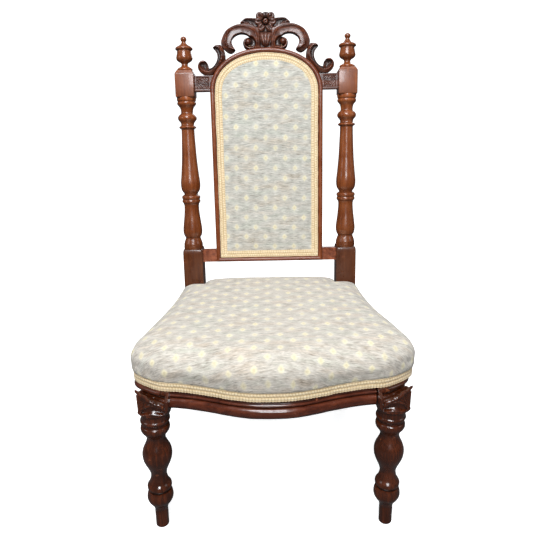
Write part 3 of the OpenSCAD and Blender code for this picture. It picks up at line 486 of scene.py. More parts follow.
def fabric(name, dark, low, mid, high):
    """repp-like cloth: level slubs, half-dropped small diamond sprigs; 'cloth' holds mm on the cloth"""
    N = Nodes(name)
    uv = attr(N, "cloth")
    # slight waver of the level threads
    wv = N.noise(N.scale(uv, (0.02, 0.05, 1)), 1.0, 2, 0.5)
    sep = N.node("SeparateXYZ", {"Vector": uv})
    u, v = sep.outputs[0], N.m("ADD", sep.outputs[1], N.m("MULTIPLY", N.m("SUBTRACT", wv, 0.5), 6.0))
    com = N.node("CombineXYZ", {"X": u, "Y": v}).outputs[0]
    s1 = N.noise(N.scale(com, (0.060, 0.40, 1)), 1.0, 4, 0.65)
    s2 = N.noise(N.scale(com, (0.10, 0.85, 1), (13, 7, 0)), 1.0, 2, 0.6)
    s3 = N.noise(N.scale(com, (0.016, 0.10, 1), (3, 17, 0)), 1.0, 2, 0.5)
    slub = N.fit(N.noise(N.scale(com, (0.072, 0.55, 1), (41, 3, 0)), 1.0, 2, 0.55, 0.3), 0.56, 0.68)
    pale = N.fit(N.noise(N.scale(com, (0.085, 0.60, 1), (7, 51, 0)), 1.0, 2, 0.55, 0.3), 0.56, 0.70)
    tint = N.noise(N.scale(com, (0.012, 0.05, 1), (31, 5, 0)), 1.0, 3, 0.6)
    s = N.m("ADD", N.m("MULTIPLY", s1, 0.62), N.m("MULTIPLY", s2, 0.22))
    s = N.m("ADD", s, N.m("MULTIPLY", s3, 0.25))
    base = N.ramp(N.fit(s, 0.36, 0.74), [(0.0, dark), (0.25, low), (0.55, mid), (1.0, high)])
    base = N.mix(N.m("MULTIPLY", slub, 0.55), base, dark)
    base = N.mix(N.m("MULTIPLY", pale, 0.45), base, lin(248, 245, 236))
    warm = N.fit(tint, 0.50, 0.66, 0, 0.5)
    base = N.mix(warm, base, N.mix(1.0, base, lin(255, 240, 224), "MULTIPLY"))
    base = N.mix(N.fit(tint, 0.48, 0.34, 0, 0.5), base, N.mix(1.0, base, lin(240, 250, 244), "MULTIPLY"))
    # two lattices, half a drop apart
    PU, PV = 46.0, 46.6
    raw_u, raw_v = sep.outputs[0], sep.outputs[1]
    wob1 = N.m("MULTIPLY", N.m("SUBTRACT", N.noise(com, 0.30, 2), 0.5), 5.0)
    wob2 = N.m("MULTIPLY", N.m("SUBTRACT", N.noise(N.scale(com, (1, 1, 1), (9, 9, 0)), 0.45, 2), 0.5), 4.0)
    vary = N.fit(N.noise(N.scale(com, (0.03, 0.03, 1), (5, 77, 0)), 1.0, 2), 0.36, 0.60, 0.55, 1.0)

    def cell(x, p, off):
        return N.m("MULTIPLY", N.m("SUBTRACT", N.m("FRACT", N.m("ADD", N.m("DIVIDE", x, p), off)), 0.5), p)

    def sprig(off):
        du, dv = cell(raw_u, PU, off), cell(raw_v, PV, off)
        au, av = N.m("ABSOLUTE", du), N.m("ABSOLUTE", dv)
        d = N.m("ADD", N.m("ADD", N.m("MULTIPLY", au, 1.0), N.m("MULTIPLY", av, 0.84)), wob1)
        r = N.m("ADD", N.m("SQRT", N.m("ADD", N.m("MULTIPLY", du, du), N.m("MULTIPLY", N.m("MULTIPLY", dv, dv), 0.75))), N.m("MULTIPLY", wob2, 0.3))
        body = N.fit(N.m("ADD", N.m("MULTIPLY", d, 0.55), N.m("MULTIPLY", r, 0.5)), 8.8, 3.6, smooth=True)
        halo = N.fit(d, 19.0, 7.0, smooth=True)
        eye = N.fit(r, 3.4, 1.2, smooth=True)
        return body, halo, eye

    b1, h1, e1 = sprig(0.5)
    b2, h2, e2 = sprig(0.0)
    body, halo = N.m("MAXIMUM", b1, b2), N.m("MAXIMUM", h1, h2)
    eye = N.m("MAXIMUM", e1, e2)
    col = N.mix(N.m("MULTIPLY", halo, 0.26), base, high)
    cream = N.ramp(N.noise(N.scale(com, (0.25, 0.6, 1)), 1.0, 2), [(0.3, lin(238, 224, 172)), (0.7, lin(251, 243, 206))])
    col = N.mix(N.m("MULTIPLY", N.m("MULTIPLY", body, vary), 0.62), col, cream)
    col = N.mix(N.m("MULTIPLY", N.m("MULTIPLY", eye, vary), 0.5), col, lin(206, 190, 148))
    # threads: fine ribs across, slubs standing up
    rib = N.node("TexWave", {"Vector": N.scale(com, (1, 1, 1)), "Scale": 0.46, "Distortion": 1.2, "Detail": 2.0, "Detail Scale": 1.5},
                 wave_type="BANDS", bands_direction="Y").outputs["Fac"]
    warp = N.node("TexWave", {"Vector": N.scale(com, (1, 1, 1)), "Scale": 0.7, "Distortion": 0.6},
                  wave_type="BANDS", bands_direction="X").outputs["Fac"]
    h = N.m("ADD", N.m("MULTIPLY", rib, 0.40), N.m("MULTIPLY", warp, 0.2))
    h = N.m("ADD", h, N.m("MULTIPLY", s1, 1.6))
    h = N.m("SUBTRACT", h, N.m("MULTIPLY", slub, 0.6))
    h = N.m("ADD", h, N.m("MULTIPLY", body, 0.7))
    # painted shade: the grooves between the ribs are darkened
    col = N.mix(N.m("MULTIPLY", N.fit(rib, 0.55, 0.0), 0.10), col, lin(140, 132, 118))
    N.set(Base_Color=col, Roughness=0.92, Normal=N.bump(h, 0.6, 0.0007))
    N.bsdf.inputs["Sheen Weight"].default_value = 0.2
    N.bsdf.inputs["Sheen Roughness"].default_value = 0.5
    N.bsdf.inputs["Specular IOR Level"].default_value = 0.2
    return N.mat


M_SEAT = fabric("seat_cloth", lin(128, 119, 108), lin(172, 163, 151), lin(202, 194, 182), lin(227, 220, 209))
M_BACK = fabric("back_cloth", lin(124, 121, 111), lin(168, 164, 154), lin(198, 194, 184), lin(226, 222, 213))
M_OUT = fabric("outside_back_cloth", lin(140, 136, 124), lin(184, 179, 167), lin(212, 206, 195), lin(235, 230, 220))


def gimp(name):
    """furnishing braid: 'gimp' holds mm along, mm across and height"""
    N = Nodes(name)
    uv = attr(N, "gimp")
    sep = N.node("SeparateXYZ", {"Vector": uv})
    u, v, hgt = sep.outputs[0], sep.outputs[1], sep.outputs[2]
    com = N.node("CombineXYZ", {"X": u, "Y": v}).outputs[0]
    n1 = N.noise(N.scale(com, (0.5, 0.7, 1)), 1.0, 3, 0.6)
    n2 = N.noise(N.scale(com, (0.03, 0.05, 1)), 1.0, 2)
    # painted shade and highlight: the colour runs from dark brown in the low gaps to near white on the raised tops
    col = N.ramp(N.fit(hgt, 0.0, 1.0), [(0.0, lin(150, 116, 80)), (0.3, lin(204, 176, 133)), (0.62, lin(231, 210, 171)), (1.0, lin(251, 239, 212))])
    col = N.mix(N.fit(n1, 0.3, 0.7, 0.0, 0.35), col, lin(226, 204, 162))
    col = N.mix(N.fit(n2, 0.45, 0.7, 0, 0.35), col, lin(238, 212, 176))
    thread = N.node("TexWave", {"Vector": N.scale(com, (1, 0.45, 1)), "Scale": 0.55, "Distortion": 1.0, "Detail": 1.0},
                    wave_type="BANDS", bands_direction="DIAGONAL").outputs["Fac"]
    # painted shade: the grooves between the threads are darkened
    col = N.mix(N.m("MULTIPLY", N.fit(thread, 0.5, 0.0), 0.22), col, lin(166, 124, 72))
    N.set(Base_Color=col, Roughness=0.62, Normal=N.bump(thread, 0.5, 0.0004))
    N.bsdf.inputs["Sheen Weight"].default_value = 0.3
    N.bsdf.inputs["Sheen Roughness"].default_value = 0.4
    N.bsdf.inputs["Specular IOR Level"].default_value = 0.35
    return N.mat


M_GIMP = gimp("gimp_braid")


def jute(name, c0, c1, scale=1.0):
    N = Nodes(name)
    obj = N.node("TexCoord").outputs["Object"]
    mm = N.scale(obj, (1000, 1000, 1000))
    a = N.node("TexWave", {"Vector": mm, "Scale": 0.16 * scale, "Distortion": 1.0, "Detail": 2.0}, wave_type="BANDS", bands_direction="X").outputs["Fac"]
    b = N.node("TexWave", {"Vector": mm, "Scale": 0.16 * scale, "Distortion": 1.0, "Detail": 2.0}, wave_type="BANDS", bands_direction="Y").outputs["Fac"]
    n = N.noise(mm, 0.08, 4, 0.6)
    w = N.m("MULTIPLY", a, b)
    col = N.mix(N.fit(n, 0.3, 0.7), c0, c1)
    # painted shade: the gaps between the crossing threads are darkened
    col = N.mix(N.fit(w, 0.35, 0.0, 0, 0.6), col, tuple(x * 0.4 for x in c0[:3]) + (1,))
    N.set(Base_Color=col, Roughness=0.95, Normal=N.bump(w, 0.8, 0.0008))
    N.bsdf.inputs["Specular IOR Level"].default_value = 0.15
    return N.mat


M_WEB = jute("jute_webbing", lin(150, 120, 78), lin(178, 150, 104))
M_HESS = jute("hessian", lin(146, 118, 80), lin(170, 142, 100), 1.6)
M_CORD = jute("lashing_cord", lin(168, 140, 98), lin(188, 162, 120), 2.5)


def hair(name):
    N = Nodes(name)
    obj = N.node("TexCoord").outputs["Object"]
    mm = N.scale(obj, (1000, 1000, 1000))
    n = N.noise(mm, 0.5, 6, 0.75, 2.0)
    col = N.ramp(n, [(0.3, lin(44, 34, 26)), (0.6, lin(86, 70, 56)), (0.8, lin(120, 102, 84))])
    N.set(Base_Color=col, Roughness=0.9, Normal=N.bump(n, 1.0, 0.002))
    return N.mat


M_HAIR = hair("hair_stuffing")


def iron(name, c, metal=1.0, rough=0.45):
    N = Nodes(name)
    obj = N.node("TexCoord").outputs["Object"]
    n = N.noise(obj, 300, 5, 0.65)
    rust = N.fit(N.noise(obj, 120, 4, 0.6), 0.5, 0.68)
    col = N.mix(N.m("MULTIPLY", rust, 0.8), c, lin(96, 54, 30))
    N.set(Base_Color=col, Roughness=N.fit(n, 0.3, 0.7, rough * 0.8, rough * 1.4), Normal=N.bump(n, 0.3, 0.0004))
    N.bsdf.inputs["Metallic"].default_value = metal
    return N.mat


M_IRON = iron("cut_iron", lin(90, 86, 82))
M_SPRING = iron("spring_wire", lin(150, 120, 92), 1.0, 0.35)


def put_attr(ob, name, A):
    at = ob.data.attributes.new(name, "FLOAT_VECTOR", "POINT")
    at.data.foreach_set("vector", np.asarray(A, np.float32).ravel())


def skin(*names, mat):
    """material on CAD nodes that stay"""
    for n in names:
        o = NODES[n]
        o.data.materials.clear()
        o.data.materials.append(mat)


# ------------------------------------------------------------------ seat plan, as in the CAD
FRONT = [(0, -45), (36, -43), (71, -34), (107, -21), (145, -9.5), (172, -4)]
CORNER = [(190, -1.5), (202, 2.5), (214, 9), (226, 17), (238, 26.5), (248, 37), (254, 50), (255.5, 66)]
SIDE = [(254, 85), (250, 105), (243, 140), (235, 175), (226, 215), (218, 260), (212, 310), (209.5, 350), (208, 369)]
HALF = spline(FRONT + CORNER + SIDE, 2)
FS = spline(FRONT + [(190, -1.5), (202, 2.5)], 8)
SS = spline([(p[1], p[0]) for p in [(238, 26.5)] + CORNER[5:] + SIDE], 6)


def corner_out(x, y):
    """the cover's right-hand front corner is stuffed a little further out"""
    return 6.0 * sstep(150, 245, x) * sstep(230, 90, y)


def front_y(x):
    return np.interp(np.abs(x), FS[:, 0], FS[:, 1])


def side_x(y):
    return np.interp(y, SS[:, 0], SS[:, 1])


FULL_LINE = np.concatenate([HALF[:0:-1] * [-1, 1], HALF])      # rear left round the front to rear right
LINE_POLY = np.concatenate([FULL_LINE, [[208, 600], [-208, 600]]])

# ------------------------------------------------------------------ front legs
LEG_TURN = [(41, 13), (43, 13.6), (46, 14.6), (49, 16.4), (52, 18.6), (56, 21.2), (60, 23.2), (64, 24.3), (68, 24.4), (72, 23.9),
            (76, 22.9), (79.5, 21.7)]
LEG_RING = [(84.0, 20.9), (86.2, 22.3), (89.4, 22.8), (92.4, 22.3), (95, 20.9), (98.6, 18.5), (103, 16.7), (108, 15.5), (112, 14.8),
            (116, 14.8), (120, 15.5), (125, 17), (130, 19), (136, 21.7), (142, 24.2), (148, 26.1), (154, 27), (160, 27.2),
            (166, 26.4), (172, 24.5), (177, 22.2), (182, 19.8), (187, 17.9), (191, 17.2), (195, 17.6), (198, 18.8), (200.5, 20.2)]
LEG_TOP = [(203, 21.4), (206, 24), (209, 25.8), (213, 26.6), (216.5, 26.2), (219, 24.8), (219.8, 23.4)]
LEG_CAP = [(220.3, 22.4), (223, 22.0), (224.8, 23.4), (226.6, 25.8), (229.4, 26.9), (231.8, 26.6), (233.2, 25.6), (233.9, 24.9)]


def leg_profile():
    P = [(0.0, 10.6), (0.8, 11.6), (2.0, 12.3), (3.5, 12.4), None, (12, 12.25), (26, 12.4), (37, 12.3), None, (38.5, 12.2), (39.4, 12.6), None]
    P += LEG_TURN + [None, (80.6, 18.9), (83.3, 18.9), None] + LEG_RING + [None] + LEG_TOP + [None] + LEG_CAP + [None, (234.4, 24.9), (236, 23.5)]
    return turned(P, 5)


RIM_P = [0, 3, 6, 10, 14, 17, 20, 23.5, 27, 30, 33.5, 37, 40.5, 44.5, 47, 48.8, 52]
RIM_Z = [301, 299.5, 296, 291.5, 287.5, 285, 282.2, 279.2, 276.4, 274.2, 272.2, 270.2, 268.8, 267.2, 265.2, 263.0, 262.5]


def tube(P3, a, b, ra, rb):
    """round-ended rod between two points, tapering"""
    a, b = np.array(a, float), np.array(b, float)
    d = b - a
    t = np.clip(sum((P3[k] - a[k]) * d[k] for k in range(3)) / float(d @ d), 0, 1)
    r = np.sqrt(sum((P3[k] - a[k] - t * d[k]) ** 2 for k in range(3)))
    return r - (ra + (rb - ra) * t)


def leg_block(h):
    """carved block of the right-hand leg as a distance field on a grid"""
    o = np.array([184.0, -31.0, 226.0])
    n = np.ceil(np.array([62.0, 62.0, 83.0]) / h).astype(int)
    X, Y, Z = np.meshgrid(*[o[k] + h * np.arange(n[k]) for k in range(3)], indexing="ij")
    A, B = 243.0 - X, Y + 28.0
    p, d = np.maximum(A, B), np.minimum(A, B)
    # timber: square with softened arrises, rounding to the turned neck below
    zz = Z[0, 0]
    hs = np.interp(zz, [226, 234, 243.6, 244.8, 246.2, 248, 310], [24.6, 25.2, 25.2, 26.2, 27.4, 28, 28])
    rc = np.interp(zz, [226, 243.6, 245, 247, 249.5, 252, 255, 258, 262, 310], [24.6, 25.2, 25.2, 22.5, 17, 12, 7, 3.2, 1.4, 1.4])
    qx, qy = np.abs(X - 215) - (hs - rc), np.abs(Y) - (hs - rc)
    F = np.sqrt(np.maximum(qx, 0) ** 2 + np.maximum(qy, 0) ** 2) + np.minimum(np.maximum(qx, qy), 0) - rc
    F = np.maximum(F, 229.0 - Z)
    # ---- carving on the two outer faces: how far the face is cut back
    tt = np.clip(1 - (np.abs(p - 27.6) / 20.4) ** 2.3, 0, 1)
    arch = 254.6 + 14.0 * tt ** 0.5
    inside = np.minimum((20.4 - np.abs(p - 27.6)) * 1.1, arch - Z)
    side = A < B
    rimz = np.where(side, np.interp(p, [0, 8, 28, 40, 52], [301, 297.5, 289.5, 284, 279.5]), np.interp(p, RIM_P, RIM_Z))
    leaf = sstep(252.5, 255.5, Z) * sstep(50.6, 49.0, p)
    cut = leaf * (2.9 + 0.25 * np.sin((Z * 0.8 - p * 0.55) * 1.5))
    # sunk half-moon, its floor a low mound that catches the light at the foot
    mound = np.exp(-((p - 27.6) / 9.0) ** 2)
    ledge = 252.2 + 3.0 * mound
    fld = sstep(-0.2, 2.6, inside)
    deep = 6.4 * sstep(251.6, 251.6 + (ledge - 251.6) * 1.5 + 2.4, Z)
    cut = cut * (1 - sstep(-0.8, 0.4, inside)) + fld * deep
    # fillet line and hollow under the half-moon
    cut += 0.8 * np.exp(-((Z - 250.4) / 0.7) ** 2) * sstep(51, 48, p) * sstep(5, 9, p)
    # plain margin against the rail, with its quirk
    cut += 1.2 * np.exp(-((p - 49.9) / 0.7) ** 2) * sstep(254, 258, Z)
    F = smax(F, (cut - d) * 0.9, 0.5)
    P3 = (p, d, Z)
    # thin arch moulding round the half-moon, with a drop at its crown
    dm = np.sqrt((inside + 1.3) ** 2 + (d - 1.7) ** 2) - 1.25
    dm = np.where((Z > 254.5) & (inside > -6), dm, 9.0)
    F = smin(F, dm, 0.5)
    F = smin(F, tube(P3, (27.8, 3.4, 268.0), (27.6, 3.6, 264.6), 2.2, 1.3), 0.8)
    # leaf: its rolled edge swells at the tip of each lobe, veins fan from the outer corner
    EDGE = [(0.9, 300.6, 2.2), (4.2, 296.8, 2.8), (8.4, 291.2, 2.6), (12.4, 287.2, 3.7), (16.2, 284.4, 4.5), (19.8, 281.2, 2.9), (23.0, 279.0, 2.6),
            (26.2, 276.6, 3.9), (29.6, 274.8, 4.4), (33.2, 272.8, 2.8), (36.4, 271.2, 2.6), (40.0, 269.6, 3.7), (43.4, 267.6, 3.9), (46.2, 264.8, 2.5), (48.2, 261.6, 1.8)]
    roll = np.full(X.shape, 50.0)
    for (p0, z0, r0), (p1, z1, r1) in zip(EDGE[:-1], EDGE[1:]):
        roll = np.minimum(roll, tube(P3, (p0, r0 - 0.3, z0), (p1, r1 - 0.3, z1), r0, r1))
    veins = np.full(X.shape, 50.0)
    for a0, b0, ra, rb in (((4.6, 3.2, 258), (3.4, 3.2, 290), 1.3, 1.7), ((8.2, 3.0, 262), (15.0, 3.0, 281.4), 1.0, 2.2),
                           ((12.2, 3.1, 264.0), (27.2, 3.0, 272.2), 0.9, 2.0), ((6.0, 2.8, 276), (9.6, 2.8, 288.4), 1.0, 1.3)):
        veins = np.minimum(veins, tube(P3, a0, b0, ra, rb))
    F = smin(F, veins, 1.0)
    F = smin(F, roll + np.where(side, 3.0, 0.0), 0.8)
    # ---- top: dished hollow in front of the plain band, rising to the leaf tip
    s = outline(X[:, :, 0], Y[:, :, 0], LINE_POLY)              # how far in front of the wood line
    s3 = s[:, :, None] + 0 * Z
    floor_z = 273.6 + (rimz - 2.6 - 273.6) * np.exp(-np.maximum(d - 4.5, 0) / 7.0)
    floor_z = floor_z - 1.6 * np.exp(-((s3 - 12.5) / 3.0) ** 2) + 0.16 * np.sin((p - d) * 1.7 + 0.6 * np.sin(p * 0.7))
    front_strip = A > 50.2
    dish = np.where(front_strip, Z - np.interp(s3, [8, 14, 27], [286.4, 282.5, 278]), Z - floor_z)
    band = np.hypot((s3 - 5.0) / 1.05, (Z - 281.8) / 1.0) - 4.8
    core = np.maximum(s3 - 4.4, Z - 286.5)
    band = np.minimum(band, core)
    tips = roll + np.where(side, 3.0, 0.0)
    open_top = np.where(front_strip, dish, smin(smin(dish, band, 1.2), tips, 1.2))
    F = smax(F, open_top * 0.8, 0.5)
    # shelf outside the wood line, block goes on up inside it
    shelf = np.minimum(Z - 286.5, np.maximum(s3, Z - 306.0))
    keep = np.where(s3 > 10.5, np.where(p < 30, Z - 306.0, Z - 286.5), shelf)
    F = np.maximum(F, keep)
    # light tool marks
    F += 0.09 * vnoise(np.stack([X, Y, Z], -1) / 2.4, 3) * (d < 8)
    return F, o


LEG_H = 0.62
BF, BO = leg_block(LEG_H)
BV, BQ = surface_nets(BF, BO, LEG_H)
PV, PF = revolve(leg_profile(), 96, (215, 0))
PV[:, 2] = np.clip(PV[:, 2], 0, None)


def lean_in(P):
    """the left leg stands a little further in at its block"""
    P = np.array(P, float)
    dx = np.interp(P[:, 2], [0, 225, 250, 400], [0, 2.0, 5.5, 5.5])
    P[:, 0] = -P[:, 0] + dx
    return P


def lean_out(P):
    P = np.array(P, float)
    P[:, 0] += np.interp(P[:, 2], [0, 225, 250, 400], [-0.8, 0.0, 1.6, 1.6])
    return P


for side in (1, -1):
    g = Geo().add(BV, BQ.tolist()).add(PV, PF)
    V, F = g.out()
    if side > 0:
        V = lean_out(V)
    if side < 0:
        V = lean_in(V)
        F = [f[::-1] for f in F]
    tag = "right" if side > 0 else "left"
    ob = build("leg_" + tag, row(V), F, M_LEG, ["front_leg_" + tag], 42)

# ------------------------------------------------------------------ back posts and rear legs
# plain convex band that runs on from the block along the side rail
for side in (1, -1):
    ys = np.concatenate([np.linspace(28, 60, 22), np.linspace(64, 366, 50)])
    L = np.column_stack([np.interp(ys, SS[:, 0], SS[:, 1]), ys])
    lead = HALF[(HALF[:, 0] > 196) & (HALF[:, 1] < 26.5)]        # round the corner of the block
    L = np.concatenate([lead, L])
    ys = L[:, 1]
    T = np.gradient(L, axis=0)
    T /= np.linalg.norm(T, axis=1)[:, None]
    O = np.column_stack([T[:, 1], -T[:, 0]])
    a = np.linspace(0, 2 * math.pi, 18, endpoint=False)
    R = []
    for q, o, y in zip(L, O, ys):
        c = 4.4 - 5.6 * float(sstep(24, 52, y))
        off = c + 4.6 * np.cos(a)
        R.append(np.column_stack([q[0] + o[0] * off, q[1] + o[1] * off, 281.8 + 4.7 * np.sin(a)]))
    V, F = ring_loft(R)
    if side < 0:
        V = V * [-1, 1, 1]
    ob = build("rail_band_" + ("right" if side > 0 else "left"), row(V), F, M_SIDE, [], 50)
    fix_normals(ob)

COL_FOOT = [(450, 22.9), (454, 23), (457, 22.6), (460, 22.6), (463, 22), (466, 21)]
COL_A = [(468.5, 20.3), (471, 19.2), (474, 18.2), (476.5, 18.2), (478, 19.2), (480, 20.6), (484, 21.8), (488, 22.7), (492, 23),
         (496, 22.9), (502, 22.4), (508, 21.6), (516, 20.6), (524, 19.5), (532, 18.6), (540, 17.9), (547, 17.5), (552, 17.4),
         (556, 17.8), (558.5, 18.6)]
COL_B = [(560, 19.6), (562, 21.2), (564.5, 21.7), (567, 21), (568.5, 20.2)]
COL_C = [(569.5, 20.4), (571.5, 21.6), (574, 21.8), (576.5, 21.2), (578, 19.2)]
COL_D = [(580, 15.9), (582.5, 16.3), (585, 17.8), (588, 20), (592, 21.7), (598, 22.7), (604, 23), (610, 22.8), (618, 22),
         (626, 21), (636, 20.1), (648, 19), (660, 18), (672, 17.3), (684, 16.7), (700, 16), (714, 15.4), (726, 15.1), (731, 15.1)]
COL_E = [(732.5, 16), (734, 18.6), (736, 20.1), (738, 18.8), (739.5, 16)]
COL_F = [(741, 15.2), (744, 15.1), (747, 16.2), (750, 18.6), (753, 21), (756.5, 21.9), (760, 21.2), (763.5, 18.9), (766, 15.8),
         (768.5, 14), (772, 14), (776, 14.5), (780, 15.7), (783, 17.8), (785.5, 20)]
COL_G = [(787, 21.2), (789.5, 21.9), (792, 21.4), (793, 20.5)]
COL_H = [(794.5, 20.6), (796.5, 21.8), (799.5, 22.1), (803.5, 22.1)]


def column_profile():
    P = []
    for t in (COL_FOOT, COL_A, COL_B, COL_C, COL_D, COL_E, COL_F, COL_G, COL_H):
        P += list(t) + [None]
    return turned([(447, 22.0), None] + P, 4)


def round_square(hx, hy, r, n=7):
    """corner-rounded rectangle, counter-clockwise, 4n points"""
    out = []
    for k, (sx, sy) in enumerate(((1, 1), (-1, 1), (-1, -1), (1, -1))):
        for i in range(n):
            a = math.radians(90 * k + 90 * i / (n - 1))
            out.append((sx * (hx - r) + r * math.cos(a), sy * (hy - r) + r * math.sin(a)))
    return np.array(out)


def line_y(z):
    return 408.5 + (z - 453.0) * math.tan(RAKE)


def leg_y(z):
    return line_y(z) + 92.0 * (np.clip((250 - z) / 250, 0, 1)) ** 1.75


def post_rear():
    """rear leg and seat-level block in one length; row-frame heights"""
    R = []
    zs = list(np.linspace(0, 250, 46)) + list(np.linspace(256, 436, 20)) + [440, 443, 445.5, 447.3, 448.4, 449]
    for z in zs:
        hx = np.interp(z, [0, 110, 240, 1000], [18, 20, 23.5, 23.5])
        hy = 17.5 + (23.5 - 17.5) * min(1, z / 250) ** 0.8
        e = 1.6
        k = 0.0
        if z < 3:
            k = (3 - z) * 0.5
        if z > 440:
            t = (z - 440) / 9.0
            k = 1.6 * (1 - math.sqrt(max(0, 1 - t * t)))
            e = 1.6 + 2.5 * t
        q = round_square(hx - k, hy - k, e)
        R.append(np.column_stack([q[:, 0] + 186.0, q[:, 1] + leg_y(z), np.full(len(q), z)]))
    return ring_loft(R)


def top_block():
    R = []
    for z, h, e in [(801.5, 17.5, 6), (802.4, 20.2, 3), (803.4, 21.2, 1.8), (805, 21.5, 1.4), (830, 21.5, 1.4), (851, 21.5, 1.4),
                    (853.2, 21.4, 1.5), (854.6, 21.0, 1.6), (857, 19.8, 1.8), (859.5, 18.2, 2), (861.6, 16.9, 2.2), (862.4, 15.8, 2.6), (862.6, 13, 3)]:
        q = round_square(h, h, e)
        R.append(np.column_stack([q[:, 0] + 186.0, q[:, 1], np.full(len(q), z)]))
    return ring_loft(R)


CV, CF = revolve(column_profile(), 96, (186, 0))
RV, RF = post_rear()
TV, TF = top_block()
for side in (1, -1):
    m = np.array([side, 1, 1])
    f = (lambda F: F) if side > 0 else (lambda F: [q[::-1] for q in F])
    g = Geo()
    g.add(row(RV * m), f(RF))
    g.add(back(CV * m), f(CF))
    g.add(back(TV * m), f(TF))
    tag = "right" if side > 0 else "left"
    V, F = g.out()
    build("post_" + tag, V, F, M_POST, ["back_post_" + tag], 40)

FIN = [(861.8, 14.0), (862.1, 16.6), (863.2, 17.5), (864.4, 17.6), (866, 17), (868, 14), (870, 10), (872, 8), (875, 7.2), (877, 7.6),
       (879, 9.4), (881, 13), (883.5, 16.4), (886.5, 18.2), (890, 18.6), (894, 17.8), (899, 16.6), (903, 16), (905, 16.1), (906.3, 17.4),
       None, (907, 18.8), (908.5, 19.7), (910.5, 19.5), (912.5, 17.8), (914.5, 14), (916.5, 10.4), (919, 7.4), (921.5, 5.4),
       (923.5, 4.6), (925, 4.8), (926.3, 5.8), (928, 6.6), (930, 6.9), (932, 6.4), (934, 4.6), (935.3, 2), (935.8, 0.4)]
for side in (1, -1):
    V, F = revolve(turned(FIN, 5), 80, (186.0 * side, 0))
    tag = "right" if side > 0 else "left"
    build("urn_" + tag, back(V), F, M_POST, ["finial_" + tag], 50)

# ------------------------------------------------------------------ seat rails
RAIL_FACE = [(0, 306), (0, 286.7), None, (0.4, 285.5), (1.6, 283), (1.4, 280.5), (-0.6, 279.6), (-2, 278), (-1.8, 276), (0.6, 274.8),
             (4.2, 273.6), (4, 272.4), None, (0.4, 271.6), (-3, 269), (-4.8, 265), (-5, 260.5), (-3.6, 256), (-0.4, 252.4), (3.4, 250.2), (6.6, 250.3), (9, 252)]


def front_rail():
    face = turned([None if q is None else (q[0], q[1]) for q in RAIL_FACE], 4)
    xs = np.linspace(-181.6, 187.0, 190)
    R = []
    for x in xs:
        y = front_y(x)
        b = min(24.0, y + 28.0)
        wear = 0.22 * vnoise(np.column_stack([np.full(len(face), x / 9.0), face[:, 1] / 6.0, face[:, 0] * 0]), 5)
        q = [(x, y + f[0] + w, f[1]) for f, w in zip(face, wear)]
        q += [(x, b - 0.8, 252), (x, b, 252.8), (x, b, 305.2), (x, b - 0.8, 306)]
        R.append(np.array(q))
    return ring_loft(R)


V, F = front_rail()
ob = build("rail_front", row(V), F, M_RAIL, ["front_seat_rail"], 38)
fix_normals(ob)
skin("side_seat_rail_left", "side_seat_rail_right", mat=M_SIDE)
skin("rear_seat_rail", mat=M_RAIL)
skin("corner_brace_front_left", "corner_brace_front_right", "corner_brace_rear_left", "corner_brace_rear_right", "crest_dowels", mat=M_BEECH)
skin("brace_screws", "webbing_tacks", mat=M_IRON)
skin("seat_webbing", "back_webbing", mat=M_WEB)
skin("seat_hessian", "back_hessian", mat=M_HESS)
skin("spring_lashing", mat=M_CORD)
skin("seat_springs", mat=M_SPRING)
skin("seat_stuffing", "back_stuffing", mat=M_HAIR)

# ------------------------------------------------------------------ panel frame
PH, PFOOT, SPR, RISE, AN = 129.5, 415.0, 811.0, 96.0, 2.15


def arch_pt(a, s):
    c, n = np.cos(a), np.sin(a)
    x = PH * np.sign(c) * np.abs(c) ** (2 / AN)
    z = RISE * np.abs(n) ** (2 / AN)
    gx = np.sign(c) * (np.abs(x) / PH) ** (AN - 1) / PH
    gz = (z / RISE) ** (AN - 1) / RISE
    g = np.hypot(gx, gz)
    return x - s * gx / g, SPR + z - s * gz / g


# even steps round the arch
_a = np.linspace(0, math.pi, 721)
_x, _z = arch_pt(_a, 8.0)
_s = np.concatenate([[0], np.cumsum(np.hypot(np.diff(_x), np.diff(_z)))])
ARCH_A = np.interp(np.linspace(0, _s[-1], 161), _s, _a)
SEC = [(0, 9), (0, 8.2), (0, 0), (0, -8.4)] + [tuple(q) for q in spline([(0, -9), (0.8, -12.4), (2.8, -14.8), (5.25, -15.5), (7.9, -14.8), (9.9, -12.2), (10.5, -9)], 5)] + \
      [(10.5, -7), (10.5, -5), (12, -5), (27.4, -5), (28, -4.4), (28, 8.4), (27.4, 9), (0.6, 9)]
SEC = np.array(SEC[1:])


def sec_ring(fx):
    return np.array([fx(s, v) for s, v in SEC])


def wave(P, amp, seed):
    return amp * vnoise(np.asarray(P) / np.array([9.0, 9.0, 26.0]), seed)


R = []
for a in ARCH_A:
    x, z = arch_pt(a, SEC[:, 0])
    R.append(np.column_stack([x, SEC[:, 1], z]))
V, F = ring_loft(R)
V[:, 1] += wave(V, 0.15, 11)
ob = build("frame_arch", back(V), F, M_FRAME_X, ["panel_arch"], 42)
fix_normals(ob)
for side in (1, -1):
    R = []
    for t in np.linspace(0, 1, 110):
        # the foot is cut to a mitre
        q = []
        for s, v in SEC:
            z0 = PFOOT + s
            q.append((side * (PH - s), v, z0 + (SPR - z0) * t))
        R.append(np.array(q))
    V, F = ring_loft(R)
    V[:, 1] += wave(V, 0.15, 12 + side)
    tag = "right" if side > 0 else "left"
    ob = build("frame_stile_" + tag, back(V), F, M_FRAME_Z, ["panel_stile_" + tag], 42)
    fix_normals(ob)
R = []
for t in np.linspace(-1, 1, 90):
    R.append(np.array([(t * (PH - s), v, PFOOT + s) for s, v in SEC]))
V, F = ring_loft(R)
V[:, 1] += 0.12 * vnoise(V / 11.0, 17)
ob = build("frame_sill", back(V), F, M_FRAME_X, ["panel_sill"], 42)
fix_normals(ob)
